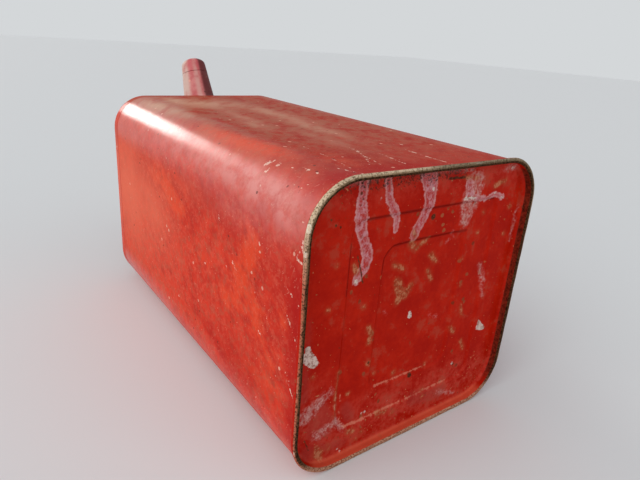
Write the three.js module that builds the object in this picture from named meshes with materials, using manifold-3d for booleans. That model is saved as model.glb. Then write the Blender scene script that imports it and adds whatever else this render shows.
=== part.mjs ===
// Square fuel can that lies on one of its sides. Lengths are in millimetres and angles in degrees.
// +X runs from the seamed bottom to the top with its filler, +Z is up, towards the side that the
// spout leans over, and +Y is to the left of someone who looks at the bottom.
import * as THREE from 'three';
import { mergeVertices } from 'three/addons/utils/BufferGeometryUtils.js';
import Module from 'manifold-3d';

const wasm = await Module();
wasm.setup();

// Driving dimensions of the body, from the crest of the bottom seam to the plane of the top
const bodyWidth = 145;
const bodyLength = 265.5;
const cornerRadius = 24;
const shoulderRadius = 9;
const sheet = 0.5;
const clearance = 0.3;
const closeGap = 0.15;
const sideSeamWidth = 6;
const sideSeamRise = 0.8;

// Double seam that joins the bottom to the body
const seamOverhang = 1.35;
const seamHeight = 3.4;
const seamCrestRadius = 0.9;
const bodyHookHeight = 1.2;
const compoundThickness = 0.5;

// Bottom panel: a countersunk pan with two pressed steps, each deeper than the one around it. The
// steps are set in from the body's wall, and are pressed a little off the middle.
const countersinkDepth = 5.2;
const countersinkFillet = 2;
const stepDepth = 1;
const stepSlope = 1.2;
const stepShiftY = -1.5;
const stepShiftZ = -2.8;
const outerStep = { insetY: 25.1, insetZ: 18.7, radius: 6 };
const innerStep = { insetY: 45.8, insetZ: 34.1, radius: 8 };

// Top panel: a rounded shoulder and a collar whose skirt slips into the body
const topCollar = 6;
const topLap = 8;
const jointGroove = 1.2;
const plateauInset = 15.5;
const plateauRadius = 15;
const plateauRise = 1.2;
const plateauSlope = 2;

// Filler neck, its thread and its cap
const fillerZ = -29;
const neckRadius = 16;
const neckWall = 0.8;
const neckHeight = 13;
const neckSpigot = 2;
const flangeWidth = 6;
const flangeThickness = 0.8;
const solderLeg = 1.4;
const threadPitch = 4;
const beadRise = 1.1;
const beadWidth = 1.6;
const beadCrestShare = 0.5;
const neckThreadStart = 3;
const neckThreadTurns = 1.75;
const capThreadTurns = 1.5;
const capWall = 0.8;
const capBevel = 1.2;
const capRim = 1;
const capFootGap = 1;
const capRibCount = 24;
const capRibDepth = 0.8;
const capRibWidth = 1.6;
const gasketThickness = 2;

// Spout: a straight cone that leans out over one side, with a domed press-in cap
const spoutInset = 13;
const spoutLean = 66;
const spoutRootRadius = 13;
const spoutMouthRadius = 10.1;
const spoutLength = 30;
const spoutWall = 0.6;
const spoutBuried = 60;
const spoutSolder = 1.4;
const spoutCapBand = 7;
const spoutCapDome = 5.4;
const spoutPlugLength = 8;
const corkThickness = 1.5;
const corkInset = 0.8;

// Folding bail, its grip and the two ears that carry it
const pivotHeight = 8;
const bailReach = 63;
const bailLegY = 51;
const bailBend = 8;
const stubBend = 4;
const stubPastEar = 3;
const wireRadius = 2.5;
const gripLength = 80;
const gripEndRadius = 6.3;
const gripMiddleRadius = 7.5;
const gripRounding = 1.5;
const earThickness = 1.5;
const earGap = 2;
const earWidth = 24;
const earLugRadius = 6.5;
const earFootDepth = 13;
const rivetSpacing = 15;
const rivetRadius = 1.6;
const rivetHeadRadius = 3;
const rivetHeadHeight = 1.3;

// How finely round shapes are cut into faces
const cornerSteps = 8;
const arcSteps = 4;
const roundFaces = 40;
const smallFaces = 16;
const threadSteps = 24;
const wireSteps = 84;
const wireFaces = 10;
const cutOverrun = 2;
const smallestRadius = 0.2;

// Values that follow from the driving dimensions
const halfWidth = bodyWidth / 2;
const hookReach = seamOverhang - sheet - clearance;
const bodyEdgeX = sheet + compoundThickness + 2 * closeGap;
const jointX = bodyLength - shoulderRadius - topCollar;
const plateauHalf = halfWidth - plateauInset;
const plateauX = bodyLength + plateauRise;
const pivotX = plateauX + pivotHeight;
const spoutRootZ = halfWidth - spoutInset;
const spoutTilt = THREE.MathUtils.degToRad(spoutLean);
const earOuterY = bailLegY - wireRadius - earGap;
const rivetY = earOuterY - earThickness - earFootDepth / 2;

// Colours and surfaces of the pieces
const redPaint = { color: 0xa8231a, roughness: 0.45, metalness: 0.1 };
const fadedRedPaint = { color: 0xb03a2c, roughness: 0.55, metalness: 0.1 };
const bareSolder = { color: 0x8a8a86, roughness: 0.5, metalness: 0.8 };
const agedSteel = { color: 0x6f6152, roughness: 0.6, metalness: 0.7 };
const rubberBlack = { color: 0x2a2826, roughness: 0.9, metalness: 0 };
const corkBrown = { color: 0xa07a4e, roughness: 0.95, metalness: 0 };
const turnedWood = { color: 0x7a4c2a, roughness: 0.6, metalness: 0 };

// Geometry with shared vertices and no empty triangles, turned so that its faces point outwards.
function closedGeometry(positions, faces) {
  const raw = new THREE.BufferGeometry();
  raw.setAttribute('position', new THREE.Float32BufferAttribute(positions, 3));
  raw.setIndex(faces);
  const merged = mergeVertices(raw);
  const index = [];
  for (let i = 0; i < merged.index.count; i += 3) {
    const [a, b, c] = [0, 1, 2].map((k) => merged.index.getX(i + k));
    if (a !== b && b !== c && c !== a) {
      index.push(a, b, c);
    }
  }
  const place = merged.attributes.position;
  const corners = [new THREE.Vector3(), new THREE.Vector3(), new THREE.Vector3()];
  let volume = 0;
  for (let i = 0; i < index.length; i += 3) {
    corners.forEach((corner, k) => corner.fromBufferAttribute(place, index[i + k]));
    volume += corners[0].dot(corners[1].clone().cross(corners[2]));
  }
  merged.setIndex(volume > 0 ? index : index.reverse());
  merged.computeVertexNormals();
  return merged;
}

// The same for a geometry that three.js made: only its positions are kept.
function closed(geometry) {
  const positions = Array.from(geometry.attributes.position.array);
  const faces = geometry.index
    ? Array.from(geometry.index.array)
    : positions.slice(0, positions.length / 3).map((_, i) => i);
  return closedGeometry(positions, faces);
}

function toSolid(geometry) {
  return new wasm.Manifold(new wasm.Mesh({
    numProp: 3,
    vertProperties: new Float32Array(geometry.attributes.position.array),
    triVerts: new Uint32Array(geometry.index.array),
  }));
}

function toGeometry(solid) {
  const mesh = solid.getMesh();
  return closedGeometry(Array.from(mesh.vertProperties), Array.from(mesh.triVerts));
}

// Loop in a plane across X: a rectangle with rounded corners, always with as many points.
function roundedLoop(x, halfY, halfZ, radius) {
  const bend = Math.max(radius, smallestRadius);
  const loop = [];
  [[1, 1], [-1, 1], [-1, -1], [1, -1]].forEach(([sideY, sideZ], quarter) => {
    for (let step = 0; step <= cornerSteps; step += 1) {
      const angle = (quarter + step / cornerSteps) * Math.PI / 2;
      const y = sideY * (halfY - bend) + bend * Math.cos(angle);
      const z = sideZ * (halfZ - bend) + bend * Math.sin(angle);
      loop.push(new THREE.Vector3(x, y, z));
    }
  });
  return loop;
}

// Loop at a distance outside the body's outer wall, or inside it where the distance is negative.
function wallLoop(x, outside) {
  return roundedLoop(x, halfWidth + outside, halfWidth + outside, cornerRadius + outside);
}

// Skin over a row of loops. A capped row is closed at its two ends, any other row closes on itself.
function loftGeometry(loops, capped) {
  const count = loops[0].length;
  const positions = loops.flat().flatMap((point) => point.toArray());
  const faces = [];
  const rows = capped ? loops.length - 1 : loops.length;
  for (let row = 0; row < rows; row += 1) {
    const next = (row + 1) % loops.length;
    for (let i = 0; i < count; i += 1) {
      const j = (i + 1) % count;
      const [a, b, c, d] = [row * count + i, row * count + j, next * count + j, next * count + i];
      faces.push(a, b, c, a, c, d);
    }
  }
  if (capped) {
    [0, loops.length - 1].forEach((row) => {
      const middle = positions.length / 3;
      positions.push(loops[row][0].x, 0, 0);
      for (let i = 0; i < count; i += 1) {
        const pair = [row * count + i, row * count + (i + 1) % count];
        faces.push(middle, ...(row === 0 ? pair.reverse() : pair));
      }
    });
  }
  return closedGeometry(positions, faces);
}

// Quarter arc of wall loops about a centre, from one angle to another, in degrees from +X outwards.
function wallArc(centreX, centreOutside, radius, from, to) {
  const loops = [];
  for (let step = 0; step <= arcSteps; step += 1) {
    const angle = THREE.MathUtils.degToRad(from + (to - from) * step / arcSteps);
    loops.push(wallLoop(centreX + radius * Math.cos(angle), centreOutside + radius * Math.sin(angle)));
  }
  return loops;
}

// Solid of revolution about X from a profile of [radius, x] pairs.
function turned(profile, faces = roundFaces) {
  const points = profile.map(([radius, x]) => new THREE.Vector2(radius, x));
  const lathe = new THREE.LatheGeometry(points, faces);
  lathe.rotateZ(-Math.PI / 2);
  return closed(lathe);
}

// A profile of a ring is closed by repeating its first point.
function turnedRing(profile, faces = roundFaces) {
  return turned([...profile, profile[0]], faces);
}

function rod(radius, fromX, toX, faces = smallFaces) {
  return turned([[0, fromX], [radius, fromX], [radius, toX], [0, toX]], faces);
}

function addPiece(parent, name, geometry, finish) {
  const piece = new THREE.Mesh(geometry, new THREE.MeshStandardMaterial(finish));
  piece.name = name;
  parent.add(piece);
  return piece;
}

// Body: one sheet, rolled square, with a hooked edge at the bottom and a folded side seam.
function bodyShell() {
  const hookBackX = bodyEdgeX + bodyHookHeight;
  const tube = loftGeometry([
    wallLoop(bodyEdgeX, -sheet),
    wallLoop(bodyEdgeX, hookReach),
    wallLoop(hookBackX, hookReach),
    wallLoop(hookBackX, 0),
    wallLoop(jointX, 0),
    wallLoop(jointX, -sheet),
  ], false);
  const seamFromX = seamHeight + clearance;
  const fold = new THREE.Shape([
    new THREE.Vector2(-sideSeamWidth / 2, -sheet / 2),
    new THREE.Vector2(sideSeamWidth / 2, -sheet / 2),
    new THREE.Vector2(sideSeamWidth / 2 - sideSeamRise, sideSeamRise),
    new THREE.Vector2(-sideSeamWidth / 2 + sideSeamRise, sideSeamRise),
  ]);
  const strip = new THREE.ExtrudeGeometry(fold, { depth: jointX - seamFromX, bevelEnabled: false });
  const axes = new THREE.Matrix4().makeBasis(
    new THREE.Vector3(0, 0, 1),
    new THREE.Vector3(0, -1, 0),
    new THREE.Vector3(1, 0, 0),
  );
  strip.applyMatrix4(axes.setPosition(seamFromX, -halfWidth, 0));
  return toGeometry(toSolid(tube).add(toSolid(closed(strip))));
}

// Loops of one pressed step: its upper edge first, then its lower edge, seen from the rim.
function stepLoops(step, x) {
  const halfY = halfWidth - step.insetY;
  const halfZ = halfWidth - step.insetZ;
  const wide = roundedLoop(x, halfY + stepSlope, halfZ + stepSlope, step.radius + stepSlope);
  const narrow = roundedLoop(x + stepDepth, halfY, halfZ, step.radius);
  const shift = new THREE.Vector3(0, stepShiftY, stepShiftZ);
  return [wide, narrow].map((loop) => loop.map((point) => point.add(shift)));
}

// Face of the bottom panel from the countersink's wall to its middle.
function bottomFace(wallOutside, fillet, x) {
  const loops = wallArc(x - fillet, wallOutside - fillet, fillet, 90, 0);
  return [...loops, ...stepLoops(outerStep, x), ...stepLoops(innerStep, x + stepDepth)];
}

// Bottom: the pan, the wall up to the seam's crest, and the sheet rolled over the body's hook.
function bottomPanel() {
  const chuckFace = -2 * sheet - clearance;
  const seamLip = seamHeight - sheet;
  const outside = bottomFace(chuckFace, countersinkFillet, countersinkDepth).reverse();
  const crest = [
    ...wallArc(seamCrestRadius, chuckFace + seamCrestRadius, seamCrestRadius, 270, 180),
    ...wallArc(seamCrestRadius, seamOverhang - seamCrestRadius, seamCrestRadius, 180, 90),
  ];
  const curl = [
    wallLoop(seamLip, seamOverhang),
    wallLoop(seamHeight, seamOverhang - sheet),
    wallLoop(seamHeight, clearance),
    wallLoop(seamLip, clearance),
    wallLoop(seamLip, seamOverhang - sheet),
    wallLoop(sheet, seamOverhang - sheet),
    wallLoop(sheet, chuckFace + sheet),
  ];
  const inside = bottomFace(chuckFace + sheet, countersinkFillet + sheet, countersinkDepth + sheet);
  return loftGeometry([...outside, ...crest, ...curl, ...inside], true);
}

// Sealing compound between the seam's crest and the body's hook.
function seamCompound() {
  const [fromX, toX] = [sheet + closeGap, bodyEdgeX - closeGap];
  return loftGeometry([
    wallLoop(fromX, -sheet),
    wallLoop(fromX, hookReach),
    wallLoop(toX, hookReach),
    wallLoop(toX, -sheet),
  ], false);
}

// Face of the top from its collar to its raised middle, moved outwards by a distance.
function topFace(outwards) {
  const shoulder = wallArc(
    bodyLength - shoulderRadius,
    -shoulderRadius,
    shoulderRadius + outwards,
    90,
    0,
  );
  const foot = plateauHalf + plateauSlope;
  return [
    ...shoulder,
    roundedLoop(bodyLength + outwards, foot, foot, plateauRadius + plateauSlope),
    roundedLoop(plateauX + outwards, plateauHalf, plateauHalf, plateauRadius),
  ];
}

// Everything under the top's face, as a solid that fittings on the top are cut with.
function underTop(outwards) {
  const loops = [wallLoop(bodyLength - spoutBuried, outwards), ...topFace(outwards)];
  return toSolid(loftGeometry(loops, true));
}

// Cone about X, from the buried end of the spout to a distance past its mouth.
function spoutCone(thicker, pastMouth) {
  const taper = (spoutMouthRadius - spoutRootRadius) / spoutLength;
  const radiusAt = (along) => spoutRootRadius + taper * along + thicker;
  const ends = [-spoutBuried, spoutLength + pastMouth];
  const [from, to] = ends.map((along) => [radiusAt(along), along]);
  return toSolid(inSpoutPlace(turned([[0, from[1]], from, to, [0, to[1]]])));
}

// Turns a shape made about X to the spout's axis, and moves it to the spout's root.
function inSpoutPlace(geometry) {
  geometry.rotateY(-spoutTilt);
  geometry.translate(bodyLength, 0, spoutRootZ);
  return geometry;
}

function fillerHole() {
  const hole = rod(neckRadius + clearance, plateauX - cutOverrun, plateauX + cutOverrun, roundFaces);
  return toSolid(hole.translate(0, 0, fillerZ));
}

function rivetPlaces() {
  return [[1, 1], [1, -1], [-1, 1], [-1, -1]]
    .map(([sideY, sideZ]) => ({ y: sideY * rivetY, z: sideZ * rivetSpacing / 2 }));
}

// Top: the pressed face and the skirt that slips into the body, with its openings.
function topPanel() {
  const skirtFace = -sheet - clearance;
  const skirtEndX = jointX - topLap;
  const grooveTopX = jointX + jointGroove;
  const panel = loftGeometry([
    ...topFace(0).reverse(),
    wallLoop(grooveTopX, 0),
    wallLoop(grooveTopX, skirtFace),
    wallLoop(skirtEndX, skirtFace),
    wallLoop(skirtEndX, skirtFace - sheet),
    wallLoop(grooveTopX + sheet, skirtFace - sheet),
    wallLoop(grooveTopX + sheet, -sheet),
    ...topFace(-sheet),
  ], true);
  let solid = toSolid(panel).subtract(fillerHole()).subtract(spoutCone(-spoutWall, 0));
  for (const { y, z } of rivetPlaces()) {
    const hole = rod(rivetRadius + clearance, plateauX - cutOverrun, plateauX + cutOverrun);
    solid = solid.subtract(toSolid(hole.translate(0, y, z)));
  }
  return toGeometry(solid);
}

// Solder that fills the groove between the body's edge and the top's collar.
function topJointSolder() {
  const [fromX, toX] = [jointX + closeGap, jointX + jointGroove - closeGap];
  const bed = -sheet - closeGap;
  const loops = [[fromX, bed], [fromX, 0], [toX, 0], [toX, bed]];
  return loftGeometry(loops.map(([x, outside]) => wallLoop(x, outside)), false);
}

// Raised helical bead about X, from one radius to another, that climbs along +X as it turns.
function helicalBead(rootRadius, crestRadius, startX, turns) {
  const section = [
    [rootRadius, -beadWidth / 2],
    [crestRadius, -beadWidth * beadCrestShare / 2],
    [crestRadius, beadWidth * beadCrestShare / 2],
    [rootRadius, beadWidth / 2],
  ];
  const positions = [];
  const faces = [0, 1, 2, 0, 2, 3];
  const last = Math.round(turns * threadSteps);
  for (let step = 0; step <= last; step += 1) {
    const angle = step / threadSteps * 2 * Math.PI;
    const x = startX + threadPitch * step / threadSteps;
    for (const [radius, along] of section) {
      positions.push(x + along, radius * Math.cos(angle), radius * Math.sin(angle));
    }
  }
  for (let step = 0; step < last; step += 1) {
    for (let side = 0; side < 4; side += 1) {
      const [a, b] = [step * 4 + side, step * 4 + (side + 1) % 4];
      faces.push(a, a + 4, b + 4, a, b + 4, b);
    }
  }
  const end = last * 4;
  faces.push(end, end + 2, end + 1, end, end + 3, end + 2);
  return closedGeometry(positions, faces);
}

// Filler neck about X, its flange's lower face at zero.
function fillerNeck() {
  const bore = neckRadius - neckWall;
  const sleeve = turnedRing([
    [bore, -neckSpigot],
    [neckRadius, -neckSpigot],
    [neckRadius, 0],
    [neckRadius + flangeWidth, 0],
    [neckRadius + flangeWidth, flangeThickness],
    [neckRadius, flangeThickness],
    [neckRadius, neckHeight],
    [bore, neckHeight],
  ]);
  const rootRadius = neckRadius - neckWall / 2;
  const bead = helicalBead(rootRadius, neckRadius + beadRise, neckThreadStart, neckThreadTurns);
  return toGeometry(toSolid(sleeve).add(toSolid(bead)));
}

// Solder fillet round the neck's flange.
function neckSolder() {
  const inner = neckRadius + flangeWidth + closeGap;
  return turnedRing([
    [inner, closeGap],
    [inner + solderLeg, closeGap],
    [inner, flangeThickness],
  ]);
}

// Screw cap with a rolled rim, ribs to grip it by and a bead that runs under the neck's bead.
function fillerCap() {
  const bore = neckRadius + beadRise + clearance;
  const outer = bore + capWall;
  const roofX = neckHeight + gasketThickness + 2 * clearance;
  const topX = roofX + capWall;
  const footX = flangeThickness + capFootGap;
  const shell = turned([
    [0, topX],
    [outer - capBevel, topX],
    [outer, topX - capBevel],
    [outer, footX + 2 * capRim],
    [outer + capRim, footX + capRim],
    [outer + capRim / 2, footX],
    [bore, footX],
    [bore, roofX],
    [0, roofX],
  ]);
  const beadX = neckThreadStart + threadPitch / 2;
  const bead = helicalBead(bore + capWall / 2, neckRadius + clearance, beadX, capThreadTurns);
  let solid = toSolid(shell).add(toSolid(bead));
  const ribFromX = footX + 2 * capRim;
  const ribLength = topX - capBevel - ribFromX;
  for (let i = 0; i < capRibCount; i += 1) {
    const rib = new THREE.BoxGeometry(ribLength, capWall + capRibDepth, capRibWidth);
    rib.translate(ribFromX + ribLength / 2, outer + (capRibDepth - capWall) / 2, 0);
    rib.rotateX(i / capRibCount * 2 * Math.PI);
    solid = solid.add(toSolid(closed(rib)));
  }
  return toGeometry(solid);
}

function capGasket() {
  const radius = neckRadius + beadRise;
  const fromX = neckHeight + clearance;
  return rod(radius, fromX, fromX + gasketThickness, roundFaces);
}

// Spout tube, cut to sit on the top.
function spoutTube() {
  const tube = spoutCone(0, 0).subtract(spoutCone(-spoutWall, cutOverrun));
  return toGeometry(tube.subtract(underTop(clearance)));
}

// Solder fillet round the spout's root: a band on the top that follows the cone.
function spoutRootSolder() {
  const band = spoutCone(closeGap + spoutSolder, 0).subtract(spoutCone(closeGap, cutOverrun));
  return toGeometry(band.intersect(underTop(closeGap + spoutSolder)).subtract(underTop(closeGap)));
}

// Domed cap about X, its rim's lower face at the spout's mouth.
function spoutCap() {
  const bore = spoutMouthRadius - spoutWall;
  const plug = bore - clearance - corkThickness - closeGap;
  const taper = (spoutMouthRadius - spoutRootRadius) / spoutLength;
  const edge = spoutMouthRadius + taper * spoutCapBand;
  const profile = [
    [0, -spoutPlugLength],
    [plug, -spoutPlugLength],
    [plug, clearance],
    [spoutMouthRadius, clearance],
    [edge, spoutCapBand],
  ];
  for (let step = 1; step <= arcSteps; step += 1) {
    const angle = step / arcSteps * Math.PI / 2;
    profile.push([edge * Math.cos(angle), spoutCapBand + spoutCapDome * Math.sin(angle)]);
  }
  return turned(profile);
}

// Cork sleeve on the cap's plug.
function spoutCapCork() {
  const outer = spoutMouthRadius - spoutWall - clearance;
  const inner = outer - corkThickness;
  const [fromX, toX] = [corkInset - spoutPlugLength, -corkInset];
  return turnedRing([[inner, fromX], [outer, fromX], [outer, toX], [inner, toX]]);
}

// Points of a path in the YZ plane whose corners are rounded, each by its own radius.
function roundedPath(corners) {
  const points = [corners[0].at];
  for (let i = 1; i < corners.length - 1; i += 1) {
    const { at, bend } = corners[i];
    const into = at.clone().sub(corners[i - 1].at).normalize();
    const out = corners[i + 1].at.clone().sub(at).normalize();
    const from = at.clone().addScaledVector(into, -bend);
    const to = at.clone().addScaledVector(out, bend);
    for (let step = 0; step <= arcSteps; step += 1) {
      const angle = step / arcSteps * Math.PI / 2;
      points.push(from.clone()
        .addScaledVector(into, bend * Math.sin(angle))
        .addScaledVector(out, bend * (1 - Math.cos(angle))));
    }
    points[points.length - 1] = to;
  }
  return [...points, corners[corners.length - 1].at];
}

// Bail about its pivot: a stub through each ear, two legs and a straight stretch for the grip.
function bailWire() {
  const stubY = earOuterY - earThickness - stubPastEar;
  const corner = (y, z, bend = 0) => ({ at: new THREE.Vector3(0, y, z), bend });
  const path = new THREE.CurvePath();
  const points = roundedPath([
    corner(-stubY, 0),
    corner(-bailLegY, 0, stubBend),
    corner(-bailLegY, -bailReach, bailBend),
    corner(bailLegY, -bailReach, bailBend),
    corner(bailLegY, 0, stubBend),
    corner(stubY, 0),
  ]);
  for (let i = 1; i < points.length; i += 1) {
    path.add(new THREE.LineCurve3(points[i - 1], points[i]));
  }
  const section = new THREE.Shape().absarc(0, 0, wireRadius, 0, 2 * Math.PI);
  const wire = new THREE.ExtrudeGeometry(section, {
    steps: wireSteps,
    curveSegments: wireFaces / 2,
    extrudePath: path,
    bevelEnabled: false,
  });
  return closed(wire);
}

// Turned wooden grip about Y, free to turn on the wire.
function bailGrip() {
  const bore = wireRadius + clearance;
  const half = gripLength / 2;
  const barrel = [];
  for (let step = -arcSteps; step <= arcSteps; step += 1) {
    const share = step / arcSteps;
    const radius = gripMiddleRadius - (gripMiddleRadius - gripEndRadius) * share * share;
    barrel.push([radius, share * (half - gripRounding)]);
  }
  const profile = [[bore, -half], [gripEndRadius - gripRounding, -half], ...barrel,
    [gripEndRadius - gripRounding, half], [bore, half]];
  const grip = turnedRing(profile, smallFaces);
  return grip.rotateZ(Math.PI / 2);
}

// Ear about the pivot: a lug across Y with the wire's hole, and a foot on the top. side is 1 or -1.
function bailEar(side) {
  const floorX = closeGap - pivotHeight;
  const lug = new THREE.Shape();
  lug.moveTo(floorX, -earWidth / 2);
  lug.lineTo(floorX + earThickness, -earWidth / 2);
  lug.lineTo(0, -earLugRadius);
  lug.absarc(0, 0, earLugRadius, -Math.PI / 2, Math.PI / 2, false);
  lug.lineTo(floorX + earThickness, earWidth / 2);
  lug.lineTo(floorX, earWidth / 2);
  lug.holes.push(new THREE.Path().absarc(0, 0, wireRadius + clearance, 0, 2 * Math.PI, true));
  const plate = new THREE.ExtrudeGeometry(lug, {
    depth: earThickness,
    curveSegments: smallFaces / 2,
    bevelEnabled: false,
  });
  const axes = new THREE.Matrix4().makeBasis(
    new THREE.Vector3(1, 0, 0),
    new THREE.Vector3(0, 0, 1),
    new THREE.Vector3(0, -1, 0),
  );
  plate.applyMatrix4(axes.setPosition(0, side > 0 ? earOuterY : earThickness - earOuterY, 0));
  const footDepth = earFootDepth + earThickness;
  const foot = new THREE.BoxGeometry(earThickness, footDepth, earWidth);
  foot.translate(floorX + earThickness / 2, side * (earOuterY - footDepth / 2), 0);
  let solid = toSolid(closed(plate)).add(toSolid(closed(foot)));
  for (const { y, z } of rivetPlaces()) {
    const hole = rod(rivetRadius + clearance, floorX - cutOverrun, floorX + earThickness + cutOverrun);
    solid = solid.subtract(toSolid(hole.translate(0, y, z)));
  }
  return toGeometry(solid);
}

// Rivet about X, with the top's outer face at zero: a head on the ear's foot and one under the top.
function earRivet() {
  const footTop = closeGap + earThickness + closeGap;
  const underside = -sheet - closeGap;
  const rounded = rivetHeadRadius - rivetHeadHeight / 2;
  return turned([
    [0, underside - rivetHeadHeight],
    [rounded, underside - rivetHeadHeight],
    [rivetHeadRadius, underside],
    [rivetRadius, underside],
    [rivetRadius, footTop],
    [rivetHeadRadius, footTop],
    [rounded, footTop + rivetHeadHeight],
    [0, footTop + rivetHeadHeight],
  ], smallFaces);
}

const can = new THREE.Group();
addPiece(can, 'body_shell', bodyShell(), fadedRedPaint);
addPiece(can, 'bottom_panel', bottomPanel(), redPaint);
addPiece(can, 'seam_compound', seamCompound(), rubberBlack);
addPiece(can, 'top_panel', topPanel(), redPaint);
addPiece(can, 'top_joint_solder', topJointSolder(), bareSolder);

const filler = new THREE.Group();
filler.position.set(plateauX + closeGap, 0, fillerZ);
addPiece(filler, 'filler_neck', fillerNeck(), agedSteel);
addPiece(filler, 'neck_solder', neckSolder(), bareSolder);
addPiece(filler, 'filler_cap', fillerCap(), redPaint);
addPiece(filler, 'cap_gasket', capGasket(), rubberBlack);
can.add(filler);

addPiece(can, 'spout_tube', spoutTube(), redPaint);
addPiece(can, 'spout_root_solder', spoutRootSolder(), bareSolder);
const spoutMouth = new THREE.Group();
spoutMouth.position.set(bodyLength, 0, spoutRootZ);
spoutMouth.rotation.y = -spoutTilt;
spoutMouth.translateX(spoutLength);
addPiece(spoutMouth, 'spout_cap', spoutCap(), redPaint);
addPiece(spoutMouth, 'spout_cap_cork', spoutCapCork(), corkBrown);
can.add(spoutMouth);

const bail = new THREE.Group();
bail.position.set(pivotX, 0, 0);
addPiece(bail, 'bail_wire', bailWire(), agedSteel);
addPiece(bail, 'bail_grip', bailGrip(), turnedWood).position.z = -bailReach;
addPiece(bail, 'bail_ear_left', bailEar(1), agedSteel);
addPiece(bail, 'bail_ear_right', bailEar(-1), agedSteel);
can.add(bail);

rivetPlaces().forEach(({ y, z }, i) => {
  addPiece(can, `ear_rivet_${i + 1}`, earRivet(), agedSteel).position.set(plateauX, y, z);
});

// The origin is at the middle of the underside of everything together.
const reach = new THREE.Box3().setFromObject(can, true);
const middle = reach.getCenter(new THREE.Vector3());
can.position.set(-middle.x, -middle.y, -reach.min.z);
const part = new THREE.Group();
part.add(can);

export default part;
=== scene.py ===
"""Looks of a square red fuel can that lies on one of its sides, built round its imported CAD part."""
import math

import bmesh
import bpy
import numpy as np
from mathutils import Matrix, Vector


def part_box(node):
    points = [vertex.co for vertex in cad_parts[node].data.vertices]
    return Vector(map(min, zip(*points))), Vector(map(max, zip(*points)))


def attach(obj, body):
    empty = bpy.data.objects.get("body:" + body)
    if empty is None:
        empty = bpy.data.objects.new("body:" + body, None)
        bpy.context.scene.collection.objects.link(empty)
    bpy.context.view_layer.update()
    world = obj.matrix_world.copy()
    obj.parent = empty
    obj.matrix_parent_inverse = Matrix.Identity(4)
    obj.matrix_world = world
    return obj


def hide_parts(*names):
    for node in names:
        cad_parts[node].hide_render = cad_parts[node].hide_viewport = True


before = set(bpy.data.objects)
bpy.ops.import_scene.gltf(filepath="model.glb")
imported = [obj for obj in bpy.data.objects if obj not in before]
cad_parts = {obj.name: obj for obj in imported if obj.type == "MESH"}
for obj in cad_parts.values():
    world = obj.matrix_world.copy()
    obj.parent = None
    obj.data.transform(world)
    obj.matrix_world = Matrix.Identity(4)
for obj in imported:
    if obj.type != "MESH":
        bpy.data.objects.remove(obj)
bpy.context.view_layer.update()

# Sizes in millimetres, as the CAD part has them
BODY_WIDTH = 145.0
BODY_LENGTH = 265.5
CORNER_RADIUS = 24.0
SHOULDER_RADIUS = 9.0
SHEET = 0.5
CLEARANCE = 0.3
CLOSE_GAP = 0.15
SIDE_SEAM_WIDTH = 6.0
SIDE_SEAM_RISE = 0.8
SEAM_OVERHANG = 1.35
SEAM_HEIGHT = 3.4
SEAM_CREST_RADIUS = 0.9
BODY_HOOK_HEIGHT = 1.2
COMPOUND_THICKNESS = 0.5
COUNTERSINK_DEPTH = 5.2
COUNTERSINK_FILLET = 2.0
STEP_DEPTH = 1.0
STEP_SLOPE = 1.2
STEP_SHIFT = (-1.3, -2.0)
OUTER_STEP = {"inset_y": 25.1, "inset_z": 18.7, "radius": 6.0}
INNER_STEP = {"inset_y": 45.8, "inset_z": 34.1, "radius": 8.0}
TOP_COLLAR = 6.0
TOP_LAP = 8.0
JOINT_GROOVE = 1.2
PLATEAU_INSET = 15.5
PLATEAU_RADIUS = 15.0
PLATEAU_RISE = 1.2
PLATEAU_SLOPE = 2.0
FILLER_Z = -29.0
NECK_RADIUS = 16.0
NECK_WALL = 0.8
NECK_HEIGHT = 13.0
NECK_SPIGOT = 2.0
FLANGE_WIDTH = 6.0
FLANGE_THICKNESS = 0.8
SOLDER_LEG = 1.4
THREAD_PITCH = 4.0
BEAD_RISE = 1.1
BEAD_WIDTH = 1.6
NECK_THREAD_START = 3.0
NECK_THREAD_TURNS = 1.75
CAP_THREAD_TURNS = 1.5
CAP_WALL = 0.8
CAP_BEVEL = 1.2
CAP_RIM = 1.0
CAP_FOOT_GAP = 1.0
CAP_RIB_COUNT = 24
CAP_RIB_DEPTH = 0.8
CAP_RIB_WIDTH = 1.6
GASKET_THICKNESS = 2.0
SPOUT_INSET = 13.0
SPOUT_LEAN = math.radians(66)
SPOUT_ROOT_RADIUS = 13.0
SPOUT_MOUTH_RADIUS = 10.1
SPOUT_LENGTH = 30.0
SPOUT_WALL = 0.6
SPOUT_BURIED = 60.0
SPOUT_SOLDER = 1.4
SPOUT_CAP_BAND = 7.0
SPOUT_CAP_DOME = 5.4
SPOUT_PLUG_LENGTH = 8.0
CORK_THICKNESS = 1.5
CORK_INSET = 0.8
PIVOT_HEIGHT = 8.0
BAIL_REACH = 63.0
BAIL_LEG_Y = 51.0
BAIL_BEND = 8.0
STUB_BEND = 4.0
STUB_PAST_EAR = 3.0
WIRE_RADIUS = 2.5
GRIP_LENGTH = 80.0
GRIP_END_RADIUS = 6.3
GRIP_MIDDLE_RADIUS = 7.5
GRIP_ROUNDING = 1.5
EAR_THICKNESS = 1.5
EAR_GAP = 2.0
EAR_WIDTH = 24.0
EAR_LUG_RADIUS = 6.5
EAR_FOOT_DEPTH = 13.0
RIVET_SPACING = 15.0
RIVET_RADIUS = 1.6
RIVET_HEAD_RADIUS = 3.0
RIVET_HEAD_HEIGHT = 1.3

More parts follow.
